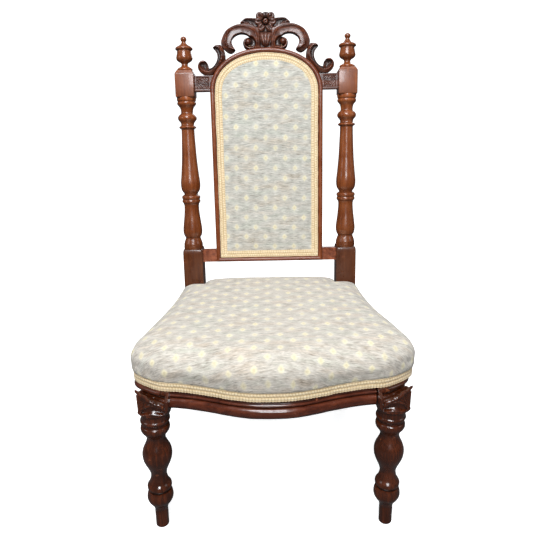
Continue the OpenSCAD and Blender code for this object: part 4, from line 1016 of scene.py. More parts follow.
skin("lower_stub_rail_left", "lower_stub_rail_right", mat=M_FRAME_X)
skin("upper_stub_rail_left", "upper_stub_rail_right", mat=M_FRAME_X)

# ------------------------------------------------------------------ panel outline, for the covers and braids


def panel_path(s, step=1.0, z0=None):
    """outline set in by s, anticlockwise seen from the front, starting at the foot of the right side"""
    foot = PFOOT + s
    right = np.column_stack([np.full(60, PH - s), np.linspace(foot, SPR, 60)])
    a = np.linspace(0, math.pi, 400)[1:-1]
    x, z = arch_pt(a, s)
    arch = np.column_stack([x, z])
    left = np.column_stack([np.full(60, s - PH), np.linspace(SPR, foot, 60)])
    return np.concatenate([right, arch, left])


# ------------------------------------------------------------------ braid
PITCH = 5.5


def braid_height(u, v, w):
    """relief of the braid: u along in mm, v across from the plain to the scalloped edge; 0 to 1"""
    f = v / w
    ph = u / PITCH
    cord = np.exp(-((f - 0.075) / 0.06) ** 2) * (0.80 + 0.10 * np.sin(2 * math.pi * (u / 2.4)))
    c1 = np.abs(np.sin(math.pi * ph))
    c2 = np.abs(np.sin(math.pi * (ph + 0.5)))
    row1 = np.exp(-(np.abs(f - 0.33) / 0.17) ** 3.0) * (0.30 + 0.60 * c1 ** 0.7)
    row2 = np.exp(-(np.abs(f - 0.72) / 0.17) ** 3.0) * (0.30 + 0.60 * c2 ** 0.7)
    dots = np.exp(-((f - 0.525) / 0.045) ** 2) * (0.10 + 0.42 * (np.cos(2 * math.pi * ph) > 0.35))
    edge = np.exp(-((f - 0.94) / 0.055) ** 2) * (0.35 + 0.55 * c2 ** 0.6)
    return np.clip(np.maximum.reduce([cord, row1, row2, dots, edge]), 0, 1)


def braid_strip(path, up, out, w, lift, step=0.55, nv=30, flip=False, u0=0.0, base=None):
    """path: mm points of the braid's edge line; up, out: unit vectors along the width and away from the cloth, at each point"""
    n = len(path)
    seg = np.concatenate([[0], np.cumsum(np.linalg.norm(np.diff(path, axis=0), axis=1))])
    m = max(8, int(seg[-1] / step))
    t = np.linspace(0, seg[-1], m)
    it = lambda A: np.stack([np.interp(t, seg, A[:, k]) for k in range(A.shape[1])], 1)
    P, U, O = it(path), it(up), it(out)
    v = np.linspace(0, 1, nv)
    scal = 0.85 * np.abs(np.sin(math.pi * (t / PITCH + 0.5))) ** 0.8 - 0.6
    wob = 0.35 * vnoise(np.column_stack([t / 22.0, t * 0, t * 0]), 21) + 0.15 * vnoise(np.column_stack([t / 5.0, t * 0, t * 0]), 22)
    ww = w + scal
    vv = v[None, :] * ww[:, None]
    uu = np.repeat((t + u0)[:, None], nv, 1) + 0.5 * vnoise(np.stack([t[:, None] / 14 + 0 * vv, vv / 7, 0 * vv], -1), 23)
    vf = (v[None, :] + 0 * vv)
    h = braid_height(uu, vf * w, w)
    h = h * (0.9 + 0.16 * vnoise(np.stack([uu / 4.0, vv / 4.0, 0 * vv], -1), 24))
    side = sstep(0, 0.05, vf) * sstep(1, 0.95, vf)
    thick = lift * (0.28 + 0.72 * h) * (0.35 + 0.65 * side)
    top = P[:, None, :] + U[:, None, :] * (vv + wob[:, None])[..., None] + O[:, None, :] * (thick + 0.12 * wob[:, None])[..., None]
    bot = P[:, None, :] + U[:, None, :] * (vv + wob[:, None])[..., None] - O[:, None, :] * 0.15
    # the height in 'gimp' also sets the braid's painted shade and highlight; the underside gets a fifth of it, so it is
    # painted darker
    A = np.stack([uu, vf * w, h], -1)
    V = np.concatenate([top.reshape(-1, 3), bot.reshape(-1, 3)])
    AT = np.concatenate([A.reshape(-1, 3), (A * [1, 1, 0.2]).reshape(-1, 3)])
    F = grid_faces(m, nv)
    N = m * nv
    G = (F + N)[:, ::-1]
    a = np.arange(m - 1) * nv
    e1 = np.stack([a, a + N, a + nv + N, a + nv], 1)
    b = a + nv - 1
    e2 = np.stack([b, b + nv, b + nv + N, b + N], 1)
    c = np.arange(nv - 1)
    e3 = np.stack([c, c + 1, c + 1 + N, c + N], 1)
    d = (m - 1) * nv + c
    e4 = np.stack([d, d + N, d + 1 + N, d + 1], 1)
    Q = np.concatenate([F, G, e1, e2, e3, e4])
    return V, Q, AT


def join_strips(parts):
    V, Q, A, n = [], [], [], 0
    for v, q, a in parts:
        V.append(v)
        Q.append(q + n)
        A.append(a)
        n += len(v)
    return np.concatenate(V), np.concatenate(Q), np.concatenate(A)


# seat braid: along the wood line from post to post, scalloped edge down
def seat_braid():
    L, _ = even(FULL_LINE, 1.0)
    T = np.gradient(L, axis=0)
    T /= np.linalg.norm(T, axis=1)[:, None]
    O = np.column_stack([T[:, 1], -T[:, 0], np.zeros(len(T))])   # outwards
    P = np.column_stack([L + O[:, :2] * 2.2, np.full(len(L), 304.4)])
    P[:, 0] += corner_out(P[:, 0], P[:, 1])
    s = np.arange(len(L))
    P[:, 2] += 0.35 * vnoise(np.column_stack([s / 60.0, s * 0, s * 0]), 31)
    up = np.column_stack([np.zeros(len(L)), np.zeros(len(L)), -np.ones(len(L))])
    return braid_strip(P, up, O, 17.9, 2.5)


V, Q, A = seat_braid()
ob = build("trim_seat", row(V), Q, M_GIMP, ["seat_braid"])
put_attr(ob, "gimp", A)
fix_normals(ob)


def back_braid(s0, w, v0, sgn, lift, name, node):
    parts = []
    # sides and arch in one length, the foot as a second one laid over their ends
    P2 = panel_path(s0 + 0.0)
    P2, _ = even(P2, 1.2)
    T = np.gradient(P2, axis=0)
    T /= np.linalg.norm(T, axis=1)[:, None]
    inw = np.column_stack([-T[:, 1], T[:, 0]])
    out = np.zeros((len(P2), 3))
    out[:, 1] = sgn
    k = np.arange(len(P2))
    P = np.column_stack([P2[:, 0], v0 + 0 * k, P2[:, 1]])
    up = np.column_stack([inw[:, 0], 0 * k, inw[:, 1]])
    parts.append(braid_strip(P, up, out, w, lift))
    x = np.linspace(-(PH - s0) + 0.6, PH - s0 - 0.6, 220)
    P = np.column_stack([x, np.full(220, v0) + sgn * 0.55, np.full(220, PFOOT + s0)])
    up = np.tile([0, 0, 1.0], (220, 1))
    out = np.tile([0, sgn, 0.0], (220, 1))
    parts.append(braid_strip(P, up, out, w, lift))
    V, Q, A = join_strips(parts)
    ob = build(name, back(V), Q, M_GIMP, [node])
    put_attr(ob, "gimp", A)
    fix_normals(ob)
    return ob


back_braid(10.9, 16.5, -11.3, -1.0, 2.5, "trim_back", "back_braid")
back_braid(4.0, 13.0, 10.4, 1.0, 1.9, "trim_outside_back", "outside_back_braid")

# ------------------------------------------------------------------ back pad
NR = 46
PAD_IN = np.array([11.2, 12.4, 20, 30, 44, 62, 84, 104])
PAD_V = np.array([-9.6, -10.6, -11.2, -12.6, -14.2, -15.2, -15.8, -16.0])


def pad_rings():
    s = np.concatenate([[11.2, 11.6, 12.2], np.linspace(13.5, 118, NR)])
    d = np.interp(s, PAD_IN, PAD_V)
    return s, d


def panel_fill(sv, dv, step=3.2, shrink=True):
    """rings of the panel outline set in towards its middle line"""
    base = np.concatenate([panel_path(11.2), np.column_stack([np.linspace(-(PH - 11.2), PH - 11.2, 80)[1:-1], np.full(78, PFOOT + 11.2)])])
    base, _ = even(np.concatenate([base, base[:1]]), step)
    base = base[:-1]
    mid = np.array([0.0, 0.0])
    R = []
    # inner target: the middle upright line from z 533 to 790
    tz = np.clip(base[:, 1], PFOOT + PH, SPR - 12)
    tgt = np.column_stack([np.zeros(len(base)), tz])
    full = np.linalg.norm(base - tgt, axis=1)
    for s, d in zip(sv, dv):
        f = (s - 11.2) / (118.3)
        q = base + (tgt - base) * f
        R.append(np.column_stack([q[:, 0], np.full(len(q), d), q[:, 1]]))
    return R


S, D = pad_rings()
R = panel_fill(S, D)
Vb = np.concatenate(R)
nb = len(R[0])
# soft waviness: the cloth is eased towards the braid
edge = np.exp(-(np.repeat(S, nb) - 11.2) / 26.0)
wv = vnoise(np.column_stack([Vb[:, 0] / 16, Vb[:, 2] / 16, Vb[:, 2] * 0]), 41) * 0.55 * edge + vnoise(np.column_stack([Vb[:, 0] / 55, Vb[:, 2] / 55, Vb[:, 2] * 0]), 42) * 0.9 * (1 - edge)
Vb[:, 1] += wv * sstep(11.4, 24, np.repeat(S, nb))
F = grid_faces(len(R), nb, loop_v=True).tolist()
back_rim = R[0] + [0, 1.6, 0]
Vb = np.concatenate([Vb, back_rim])
k = len(R) * nb
F += [[(k + j), (k + (j + 1) % nb), (j + 1) % nb, j] for j in range(nb)]
F.append([k + j for j in range(nb - 1, -1, -1)])
last = (len(R) - 1) * nb
F.append([last + j for j in range(nb)])
ob = build("pad_back", back(Vb), F, M_BACK, ["back_cover"])
fix_normals(ob)
a = math.radians(-1.3)
BU = Vb[:, 0] * math.cos(a) + (Vb[:, 2] - 709) * math.sin(a) + 3.4
BW = -Vb[:, 0] * math.sin(a) + (Vb[:, 2] - 709) * math.cos(a)
put_attr(ob, "cloth", np.column_stack([BU, BW, 0 * BU]))

# outside back: cloth laid flat over the frame, eased a little
R = panel_fill(np.concatenate([[11.2, 11.9], np.linspace(14, 118, 30)]), np.full(32, 10.0))
Vo = np.concatenate(R)
no = len(R[0])
grow = np.array([(1 + 5.2 / 130.0), 1.0, 1.0])
Vo[:, 0] *= (129.5 - 6) / (129.5 - 11.2)
Vo[:, 2] = (Vo[:, 2] - 661) * ((246 - 6) / (246 - 11.2)) + 661
Vo[:, 1] += 0.35 + 0.45 * vnoise(np.column_stack([Vo[:, 0] / 60, Vo[:, 2] / 60, 0 * Vo[:, 0]]), 51) * sstep(0, 30, 118 - np.abs(Vo[:, 0]))
F = grid_faces(len(R), no, loop_v=True).tolist()
rim = Vo[:no] + [0, -1.2, 0]
rim[:, 1] = 9.05
Vo = np.concatenate([Vo, rim])
k = len(R) * no
F += [[(k + j), (k + (j + 1) % no), (j + 1) % no, j] for j in range(no)]
F.append([k + j for j in range(no - 1, -1, -1)])
last = (len(R) - 1) * no
F.append([last + j for j in range(no)])
ob = build("cloth_outside_back", back(Vo), F, M_OUT, ["outside_back_cover"])
fix_normals(ob)
put_attr(ob, "cloth", np.column_stack([-Vo[:, 0], Vo[:, 2] - 700, 0 * Vo[:, 0]]))

# ------------------------------------------------------------------ crest
CH = 0.55


def arch_top(x):
    """height of the arch's outer edge at x"""
    return SPR + RISE * np.clip(1 - (np.abs(x) / PH) ** AN, 0, 1) ** (1 / AN)


def flip(P):
    return [(-a, b) for a, b in P]


def carve(x0, x1, z0, z1, front, outs, vb, h=CH, vmin=-17.5, round_=1.1):
    """front: depth of the face at each point; outs: signed distance to the outline"""
    xs = np.arange(x0, x1 + h, h)
    zs = np.arange(z0, z1 + h, h)
    vs = np.arange(vmin - 2 * h, vb + 2.5 * h, h)
    X, Z = np.meshgrid(xs, zs, indexing="ij")
    f = front(X, Z)
    o = outs(X, Z)
    # slope of the face, to keep the field even
    gx, gz = np.gradient(f, h)
    k = 1 / np.sqrt(1 + gx * gx + gz * gz)
    v = vs[None, :, None]
    A = (f[:, None, :] - v) * k[:, None, :]
    F = smax(A, o[:, None, :] + 0 * v, round_)
    B = np.maximum(o[:, None, :] + 0 * v, v - vb)
    # slightly eased back edge
    B = smax(o[:, None, :] + 0 * v, v - vb, 0.8)
    F = np.maximum(F, B)
    V, Q = surface_nets(F, np.array([xs[0], vs[0], zs[0]]), h)
    return V, Q


def deepen(ob, V):
    """'deep' holds how far forward each point of a carving lies, in mm; the carved wood paints shade into its hollows
    from it
    """
    put_attr(ob, "deep", np.column_stack([V[:, 1], 0 * V[:, 0], 0 * V[:, 0]]))


def path_field(X, Z, P):
    """distance, place along 0..1 and side (+ to the left of travel) from a path"""
    P = np.asarray(P, float)
    d, at = seg_dist(X, Z, P)
    seg = np.linalg.norm(np.diff(P, axis=0), axis=1)
    s = np.concatenate([[0], np.cumsum(seg)])
    T = np.gradient(P, axis=0)
    tx, tz = np.interp(at, s, T[:, 0]), np.interp(at, s, T[:, 1])
    qx, qz = np.interp(at, s, P[:, 0]), np.interp(at, s, P[:, 1])
    side = tx * (Z - qz) - tz * (X - qx)
    return d, at / s[-1], side


# left-hand scroll; the right one is its mirror
S_OUT = [(-20, 949), (-27, 953.5), (-34, 956), (-45, 958), (-54, 957.5), (-65, 956), (-77, 951.5), (-87.5, 945), (-94, 936.5), (-98.5, 927),
         (-100.5, 919), (-98.5, 910.5), (-92.5, 904), (-86, 899), (-79.5, 897), (-73, 899.5), (-68.5, 904)]
S_IN = [(-68.6, 904.3), (-72, 908.5), (-74.6, 914), (-76.6, 921), (-75, 928), (-68.5, 934), (-60, 937.5), (-51, 938), (-42.5, 935.8), (-36.8, 931.6)]
S_VOL = [(-36.6, 929.4), (-40, 929.7), (-46, 927.4), (-50, 922.6), (-51, 917), (-48.5, 909.5), (-43.5, 905), (-38, 902.4), (-33, 899.5)]
S_ROOT = [(-30, 895), (-6, 895), (-6, 946)]
S_RIDGE = spline([(-26.5, 907.5), (-20.5, 914), (-18.6, 922), (-19.2, 930.5), (-22.2, 938.5), (-27.5, 945), (-36.5, 949.6), (-47, 952.2), (-57, 953.2),
                  (-67.5, 951.5), (-77, 947), (-84.3, 939.5), (-88.3, 931), (-89.5, 923), (-88, 914.8), (-83, 908.7), (-76.5, 905.3), (-70.6, 904.2)], 6)
S_CURL = spline([(-26.5, 907.5), (-32.5, 905.6), (-39, 906.4), (-44.4, 909.6), (-47.4, 915), (-47.2, 920.6), (-44.2, 925), (-40.4, 926.6)], 6)


def scroll_front(X, Z):
    do, _ = seg_dist(X, Z, spline(S_OUT, 4))
    di, _ = seg_dist(X, Z, spline(S_IN, 4))
    dr, at, side = path_field(X, Z, S_RIDGE)
    outer = side < 0
    # falling, rounded flank outside the ridge; the ridge runs anticlockwise here
    to = dr / (dr + do + 1e-6)
    ti = dr / (dr + di + 1e-6)
    fo = -14.2 + 9.0 * to ** 1.8
    fi = -14.2 + 10.5 * ti ** 0.75
    # cup at the hooked end
    cup = sstep(0.80, 0.97, at)
    fi = fi + cup * (2.2 * np.exp(-((ti - 0.5) / 0.3) ** 2))
    f = np.where(side > 0, fo, fi)
    lip = np.exp(-(dr / 1.5) ** 2)
    f = f - 0.9 * lip
    # the volute: rim curling in to a ball
    dc, ac, sc = path_field(X, Z, S_CURL)
    rb = np.hypot(X + 39.6, Z - 919.6)
    vol = np.full(X.shape, -6.0)
    vol = np.minimum(vol, -6 - 8.0 * np.exp(-(dc / 3.0) ** 2.4))
    hollow = np.exp(-((rb - 6.9) / 2.4) ** 2)
    vol = vol + 3.0 * hollow * (dc > 2.0)
    ball = np.where(rb < 7.2, -5.0 - 10.4 * np.sqrt(np.clip(1 - (rb / 7.2) ** 2, 0, 1)), 9)
    vol = np.minimum(vol, ball)
    near = sstep(17.5, 13.0, np.hypot(X + 37.5, Z - 915.5)) * (Z < 932)
    dv, _ = seg_dist(X, Z, spline(S_VOL[1:], 4))
    vol = vol + 5.0 * np.exp(-(dv / 2.2) ** 2) * (dc > 1.0)
    f = f * (1 - near) + vol * near
    # root towards the middle sinks behind the tongue
    f = f + 4.5 * sstep(-15.5, -10, X) * sstep(900, 915, Z)
    return f + 0.10 * vnoise(np.stack([X / 8.0, Z / 8.0, 0 * X], -1), 61)


S_POLY = np.concatenate([spline(S_OUT, 4), spline(S_IN, 4), spline(S_VOL, 4), np.array(S_ROOT, float)])


def scroll_outs(X, Z):
    o = outline(X, Z, S_POLY)
    return np.maximum(o, (arch_top(X) + 0.15 - Z))


# tongue: three reeds between the scrolls, over the arch
T_POLY = spline([(-13.5, 944), (-13.2, 934), (-11.6, 924), (-9.6, 916.5), (-6, 911), (0.5, 908.2), (7, 911), (11, 917), (13.6, 925), (15, 935), (15.5, 944), (8, 954), (-6, 954)], 5, True)


def tongue_front(X, Z):
    t = np.clip((Z - 908) / 34.0, 0, 1)
    half = 4.5 + 10.5 * t ** 0.8
    u = (X - 1.0 * t) / half
    reed = np.abs(np.cos(u * math.pi * 1.5)) ** 0.6
    f = -8.0 - 3.4 * np.sqrt(np.clip(1 - u * u * 0.8, 0, 1)) * (0.5 + 0.5 * np.sin(np.clip(t * 1.25, 0, 1) * math.pi * 0.9)) - 1.7 * reed
    return f + 6.5 * sstep(8, 0, Z - 906.5) * 0.6 + 7.0 * sstep(932, 944, Z)


def tongue_outs(X, Z):
    return np.maximum(outline(X, Z, T_POLY), arch_top(X) + 0.15 - Z)


# board behind, tying the parts together
B_POLY = spline([(-21, 900), (-22, 925), (-19, 944), (-12, 955), (13, 955), (20, 944), (23, 925), (22, 900)], 4, True)


def board_front(X, Z):
    return -4.0 + 0 * X


def board_outs(X, Z):
    return np.maximum(outline(X, Z, B_POLY), arch_top(X) + 0.15 - Z)


g = Geo()
V, Q = carve(-103, -4, 893, 961, scroll_front, scroll_outs, 8.0, h=0.64)
g.add(V, Q.tolist())
g.add(V * [-1, 1, 1], Q[:, ::-1].tolist())
V, Q = carve(-17, 19, 904, 958, tongue_front, tongue_outs, 6.5)
g.add(V, Q.tolist())
V, Q = carve(-24, 25, 896, 958, board_front, board_outs, 7.6, h=1.0)
g.add(V, Q.tolist())
V, F = g.out()
deepen(build("crest_scrolls", back(V), F, M_CREST, ["crest_carving"], 50), V)

# ---- flower: button, six lobed petals and a bud on top
PETALS = [(-8.8, 950.2, 9.6, 8.8, 20), (9.4, 949.9, 9.6, 8.8, -20), (-15.4, 962.2, 8.9, 7.9, 90), (16.4, 961.6, 8.9, 7.9, 90),
          (-12.0, 973.8, 8.9, 8.6, -30), (13.2, 973.2, 8.9, 8.6, 30)]


def flower_front(X, Z):
    f = np.full(X.shape, 0.0)
    cx, cz = 0.7, 962.0
    for q in PETALS:
        ax, az = q[0] - cx, q[1] - cz
        L = math.hypot(ax, az)
        ax, az = ax / L, az / L
        dx, dz = X - q[0], Z - q[1]
        along, across = dx * ax + dz * az, -dx * az + dz * ax
        r2 = (along / (q[2] + 0.6)) ** 2 + (across / (q[3] + 0.4)) ** 2
        dome = np.sqrt(np.clip(1 - r2, 0, 1))
        # each petal dished along its middle, with a rolled tip
        p = -3.0 - 8.4 * dome ** 0.7 + 3.6 * np.exp(-(across / 2.6) ** 2) * sstep(9, -2, along) * dome
        f = np.where(r2 < 1, np.minimum(f, p), f)
    # bud
    dx, dz = X - 1.8, Z - 976.5
    r2 = (dx / 10.8) ** 2 + (dz / 7.2) ** 2
    bud = -1.0 - 6.5 * np.sqrt(np.clip(1 - r2, 0, 1)) + 1.6 * np.exp(-(np.abs(dx) / 1.3) ** 2) * (r2 < 1)
    f = np.where(r2 < 1, np.minimum(f, bud), f)
    r = np.hypot(X - cx, Z - cz)
    f = f + 3.2 * np.exp(-((r - 6.9) / 1.5) ** 2)
    b = np.where(r < 6.0, -8.0 - 6.4 * np.sqrt(np.clip(1 - (r / 6.1) ** 2, 0, 1)) + 4.2 * np.exp(-(r / 1.5) ** 2), 9)
    f = np.where(r < 6.0, b, f)
    return f


def flower_outs(X, Z):
    o = np.full(X.shape, 1e3)
    for q in PETALS:
        o = smin(o, np.hypot(X - q[0], Z - q[1]) - q[2] * 0.97, 1.2)
    o = smin(o, np.hypot((X - 1.8), (Z - 974.8) * 1.15) - 9.8, 1.5)
    return smin(o, np.hypot(X - 0.7, Z - 962) - 11, 1.0)


V, Q = carve(-27, 29, 937, 988, flower_front, flower_outs, 4.5, vmin=-16.5)
deepen(build("crest_rose", back(V), Q, M_CREST, ["crest_flower"], 50), V)

# ---- leaves
L_TOP = [(-14, 967), (-20, 969.5), (-28, 970.2), (-36, 970.6), (-43.5, 970.3), (-50, 966.6), (-56, 960.2)]
L_LOW = [(-55.6, 959.6), (-50, 959.2), (-45, 957.9), (-40, 956.2), (-34.5, 952.6), (-29, 949), (-24, 946.5), (-19, 945.8), (-12, 950)]
L_POLY = np.concatenate([spline(L_TOP, 5), spline(L_LOW, 5)])
L_RIM = spline([(-55, 960.3), (-49, 961.2), (-43.5, 960.2), (-37.5, 957.2), (-31, 952.6), (-24.5, 949.5), (-17, 948.5)], 6)
L_MID = spline([(-55, 961), (-48, 964.6), (-40, 965.2), (-32, 963.6), (-24, 961.2), (-15, 959.5)], 6)


def leaf_front(X, Z):
    dr, _ = seg_dist(X, Z, L_RIM)
    dm, at, side = path_field(X, Z, L_MID)
    dt, _ = seg_dist(X, Z, spline(L_TOP, 5))
    f = -5.0 - 4.6 * np.exp(-(dr / 2.3) ** 2) - 2.6 * np.exp(-((dt - 1.6) / 2.4) ** 2) + 1.7 * np.exp(-(dm / 1.2) ** 2)
    # veins slanting off the midrib
    vein = np.sin((at * 30 + np.sign(side) * dm * 0.55) * 1.05)
    f = f + 0.65 * np.clip(vein, 0, 1) * sstep(0.8, 2.5, dm)
    f = f - 1.5 * sstep(-50, -54, X)
    return f


def leaf_outs(X, Z):
    o = outline(X, Z, L_POLY)
    return np.maximum(o, 13.0 - np.hypot(X - 0.7, Z - 962.0))


V, Q = carve(-58, -8, 943, 973, leaf_front, leaf_outs, 3.5, vmin=-14)
deepen(build("crest_leaf_l", back(V), Q, M_CREST, ["crest_leaf_left"], 50), V)
deepen(build("crest_leaf_r", back(V * [-1, 1, 1]), Q[:, ::-1].copy(), M_CREST, ["crest_leaf_right"], 50), V)

# ---- wings
W_OUT = [(-119, 908), (-113.8, 902), (-110.6, 895), (-110, 887.5), (-112.8, 879), (-118, 871.5), (-124, 866.6), (-130.5, 865.4), (-131.6, 871),
         (-133.6, 877), (-139, 881.2), (-146, 881.6), (-152, 877), (-155, 870), (-154, 862.5), (-149, 856), (-140, 851), (-129, 850.6)]
W_IN = [(-119.4, 908.3), (-114, 913.2), (-108, 914.6), (-101, 914.2), (-96.6, 908), (-93, 900), (-91.8, 892), (-91.5, 884), (-88, 876)]
W_POLY = np.concatenate([spline(W_OUT, 4), np.array([(-122, 846), (-95, 846), (-84, 870)], float), spline(W_IN, 4)[::-1]])
W_RIDGE = spline([(-117.6, 908.8), (-112.5, 911.2), (-106.5, 909.4), (-101.6, 903.8), (-99, 895), (-100.3, 886.5), (-104.2, 878), (-111.8, 869), (-121.5, 861.2),
                  (-132, 857.2), (-142, 859.4), (-148.8, 865.8), (-151.4, 873), (-147, 878.6), (-141, 879)], 6)


def wing_front(X, Z):
    do, _ = seg_dist(X, Z, spline(W_OUT, 4))
    dr, at, side = path_field(X, Z, W_RIDGE)
    di, _ = seg_dist(X, Z, spline(W_IN, 4)[14:])
    # right of travel is the hollow towards the open side
    t = dr / (dr + do + 1e-6)
    hol = -13.0 + 7.6 * sstep(0.02, 0.5, t) - 2.0 * sstep(0.6, 1.0, t)
    cup = np.hypot(X + 141.5, Z - 869.5)
    hol = np.where(cup < 13, np.minimum(hol + 0.0, -4.2 - 6.0 * (cup / 12.0) ** 2.2), hol)
    flank = -13.0 + 8.6 * (np.clip(dr / 12.5, 0, 1)) ** 1.4
    f = np.where(side < 0, hol, flank)
    f = f - 0.9 * np.exp(-(dr / 1.5) ** 2)
    return f + 0.10 * vnoise(np.stack([X / 8.0, Z / 8.0, 0 * X], -1), 62)


def wing_outs(X, Z):
    o = outline(X, Z, W_POLY)
    o = np.maximum(o, arch_top(X) + 0.15 - Z)
    o = np.maximum(o, 850.2 - Z)
    # clear of the scroll that it meets
    return np.maximum(o, 0.25 - outline(X, Z, S_POLY))


V, Q = carve(-157.5, -84, 847, 918, wing_front, wing_outs, 6.5, vmin=-16)
deepen(build("crest_wing_l", back(V), Q, M_CREST, ["crest_wing_left"], 50), V)
deepen(build("crest_wing_r", back(V * [-1, 1, 1]), Q[:, ::-1].copy(), M_CREST, ["crest_wing_right"], 50), V)


# ---- upper stub rails: cut ground with a framed, chip-carved panel
def stub_front(X, Z):
    a = np.abs(X)
    f = np.full(X.shape, -8.0)
    inner = np.minimum(np.minimum(a - (np.interp(Z, [815, 850], [133.5, 131])), 160.0 - a), np.minimum(Z - 821.5, 846.0 - Z))
    cut = sstep(0, 0.9, inner)
    # lozenge and chevron cuts on the sunk ground
    u = np.abs(a - 147.0) + np.abs(Z - 834.0) * 0.9
    loz = np.abs(np.sin(u * math.pi / 5.2)) ** 0.7
    punch = vnoise(np.stack([X / 1.3, Z / 1.3, 0 * X], -1), 71)
    f = f + cut * (1.1 + 0.75 * (1 - loz) + 0.28 * punch)
    f = f + 0.7 * np.exp(-((Z - 820.4) / 0.6) ** 2)
    return f


def stub_outs(X, Z):
    a = np.abs(X)
    box = np.maximum(np.maximum(a - 164.4, 100 - a), np.maximum(Z - 849.9, 815.1 - Z))
    # meets the outside of the arch
    t = np.clip((np.abs(Z) - SPR) / RISE, 0, 1)
    ex = PH * np.clip(1 - t ** AN, 0, 1) ** (1 / AN)
    return np.maximum(box, ex + 0.1 - a)


V, Q = carve(-167, -112, 812, 853, stub_front, stub_outs, 10.0, h=0.6, vmin=-9.5, round_=0.5)
# their depths are shifted 3 mm forward, so the sunk ground takes less painted shade
deepen(build("stub_upper_l", back(V), Q, M_CREST, ["upper_stub_rail_left"], 45), V - [0, 3.0, 0])
deepen(build("stub_upper_r", back(V * [-1, 1, 1]), Q[:, ::-1].copy(), M_CREST, ["upper_stub_rail_right"], 45), V - [0, 3.0, 0])

# ------------------------------------------------------------------ seat cushion
NOTCH = 161.0
REAR = 404.0
RING = np.concatenate([
    HALF, [[NOTCH + 34, 371], [NOTCH + 12, 371], [NOTCH, 373], [NOTCH, 388], [NOTCH - 3, REAR], [NOTCH * 0.66, REAR], [NOTCH * 0.33, REAR], [0, REAR],
           [-NOTCH * 0.33, REAR], [-NOTCH * 0.66, REAR], [3 - NOTCH, REAR], [-NOTCH, 388], [-NOTCH, 373], [-NOTCH - 12, 371], [-NOTCH - 34, 371]],
    HALF[:0:-1] * [-1, 1]])
RING, _ = even(np.concatenate([RING, RING[:1]]), 5.0)
RING = RING[:-1]
SC = np.array([0.0, 175.0])


def plan_at(f, z, o=0.0):
    d = RING - SC
    l = np.linalg.norm(d, axis=1)[:, None]
    q = SC + d * (f + o / l)
    return np.column_stack([q, np.full(len(q), z) if np.isscalar(z) else z])


SEAT_U, SEAT_V = 5.7, -19.9            # where the sprigs fall
# the edge of the pad: distance outside the wood line with height, then with depth under the crown
WALL = [(1.6, 304.4), (3.8, 307.0), (5.8, 311.5), (7.4, 317.5), (8.4, 324.5), (8.9, 332)]
ROLL = [(8.5, 29), (7.5, 24.5), (5.4, 20), (2.4, 16), (-2, 12.4), (-8, 9.2), (-15, 6.4), (-25, 3.8), (-37, 1.9), (-53, 0.7), (-74, 0)]


def crown(x, y):
    """the stuffing rises a little towards the back and falls to the sides"""
    return 367.3 + 0.043 * np.clip(y - 15, -60, 330) - 7.5 * (np.abs(x) / 240) ** 2.4


def cushion():
    def ring(f, o, z):
        R = plan_at(f, 0.0, o)
        R[:, 2] = z if np.isscalar(z) else z
        return R

    R = [ring(0.3, 0, 325.2), ring(0.5, 0, 325.0), ring(0.72, 0, 323.6), ring(0.84, 0, 318.4), ring(0.905, 0, 311.6), ring(0.965, 0, 307.4), ring(0.99, 0.6, 306.0)]
    R += [ring(1.0, o, z) for o, z in WALL]
    for o, dz in ROLL:
        q = ring(1.0, o, 0.0)
        q[:, 2] = np.maximum(crown(q[:, 0], q[:, 1]) - dz, 333.5)
        R.append(q)
    base = R[-1].copy()
    for g in (0.86, 0.72, 0.57, 0.42, 0.27, 0.12):
        q = base.copy()
        q[:, :2] = SC + (base[:, :2] - SC) * g
        q[:, 2] = crown(q[:, 0], q[:, 1])
        R.append(q)
    return ring_loft(R)


V, F = cushion()
V0 = row(V)
cush = build("pad_seat", V0, F, M_SEAT, ["seat_cover", "seat_stuffing"])
fix_normals(cush)
sc_fps = scene.frame_current
bpy.context.view_layer.objects.active = cush
for o in bpy.context.selected_objects:
    o.select_set(False)
cush.select_set(True)
md = cush.modifiers.new("even", "REMESH")
md.mode, md.voxel_size, md.use_smooth_shade = "VOXEL", 0.0046, True
dg = bpy.context.evaluated_depsgraph_get()
me = bpy.data.meshes.new_from_object(cush.evaluated_get(dg))
cush.modifiers.clear()
cush.data = me
n = len(me.vertices)
P = np.empty(n * 3, np.float32)
me.vertices.foreach_get("co", P)
P = P.reshape(-1, 3)
N = np.empty(n * 3, np.float32)
me.vertices.foreach_get("normal", N)
N = N.reshape(-1, 3)
hold = cush.vertex_groups.new(name="hold")
low = np.clip((0.3145 - P[:, 2]) / 0.008, 0, 1)
under = (N[:, 2] < -0.25) & (P[:, 2] < 0.330)
w = np.maximum(low, under)
for lvl in np.linspace(0.05, 1, 20):
    ids = np.nonzero(np.abs(w - lvl) <= 0.025)[0].tolist()
    if ids:
        hold.add(ids, float(lvl), "REPLACE")
cl = cush.modifiers.new("settle", "CLOTH")
s = cl.settings
s.quality, s.mass, s.air_damping = 6, 0.35, 1.0
s.tension_stiffness = s.compression_stiffness = 14
s.shear_stiffness, s.bending_stiffness = 6, 1.2
s.use_pressure, s.uniform_pressure_force = True, 2.0
s.vertex_group_mass, s.pin_stiffness = "hold", 1.0
s.effector_weights.gravity = 0.0
cl.point_cache.frame_start, cl.point_cache.frame_end = 1, 20
scene.frame_start, scene.frame_end = 1, 20
for k in range(1, 21):
    scene.frame_set(k)
dg = bpy.context.evaluated_depsgraph_get()
m2 = bpy.data.meshes.new_from_object(cush.evaluated_get(dg))
Q2 = np.empty(n * 3, np.float32)
m2.vertices.foreach_get("co", Q2)
Q2 = Q2.reshape(-1, 3)
d = Q2 - P
L = np.linalg.norm(d, axis=1)
print("cushion moved: median %.1f mm, most %.1f mm" % (np.median(L) * 1000, L.max() * 1000))
cap = 0.003
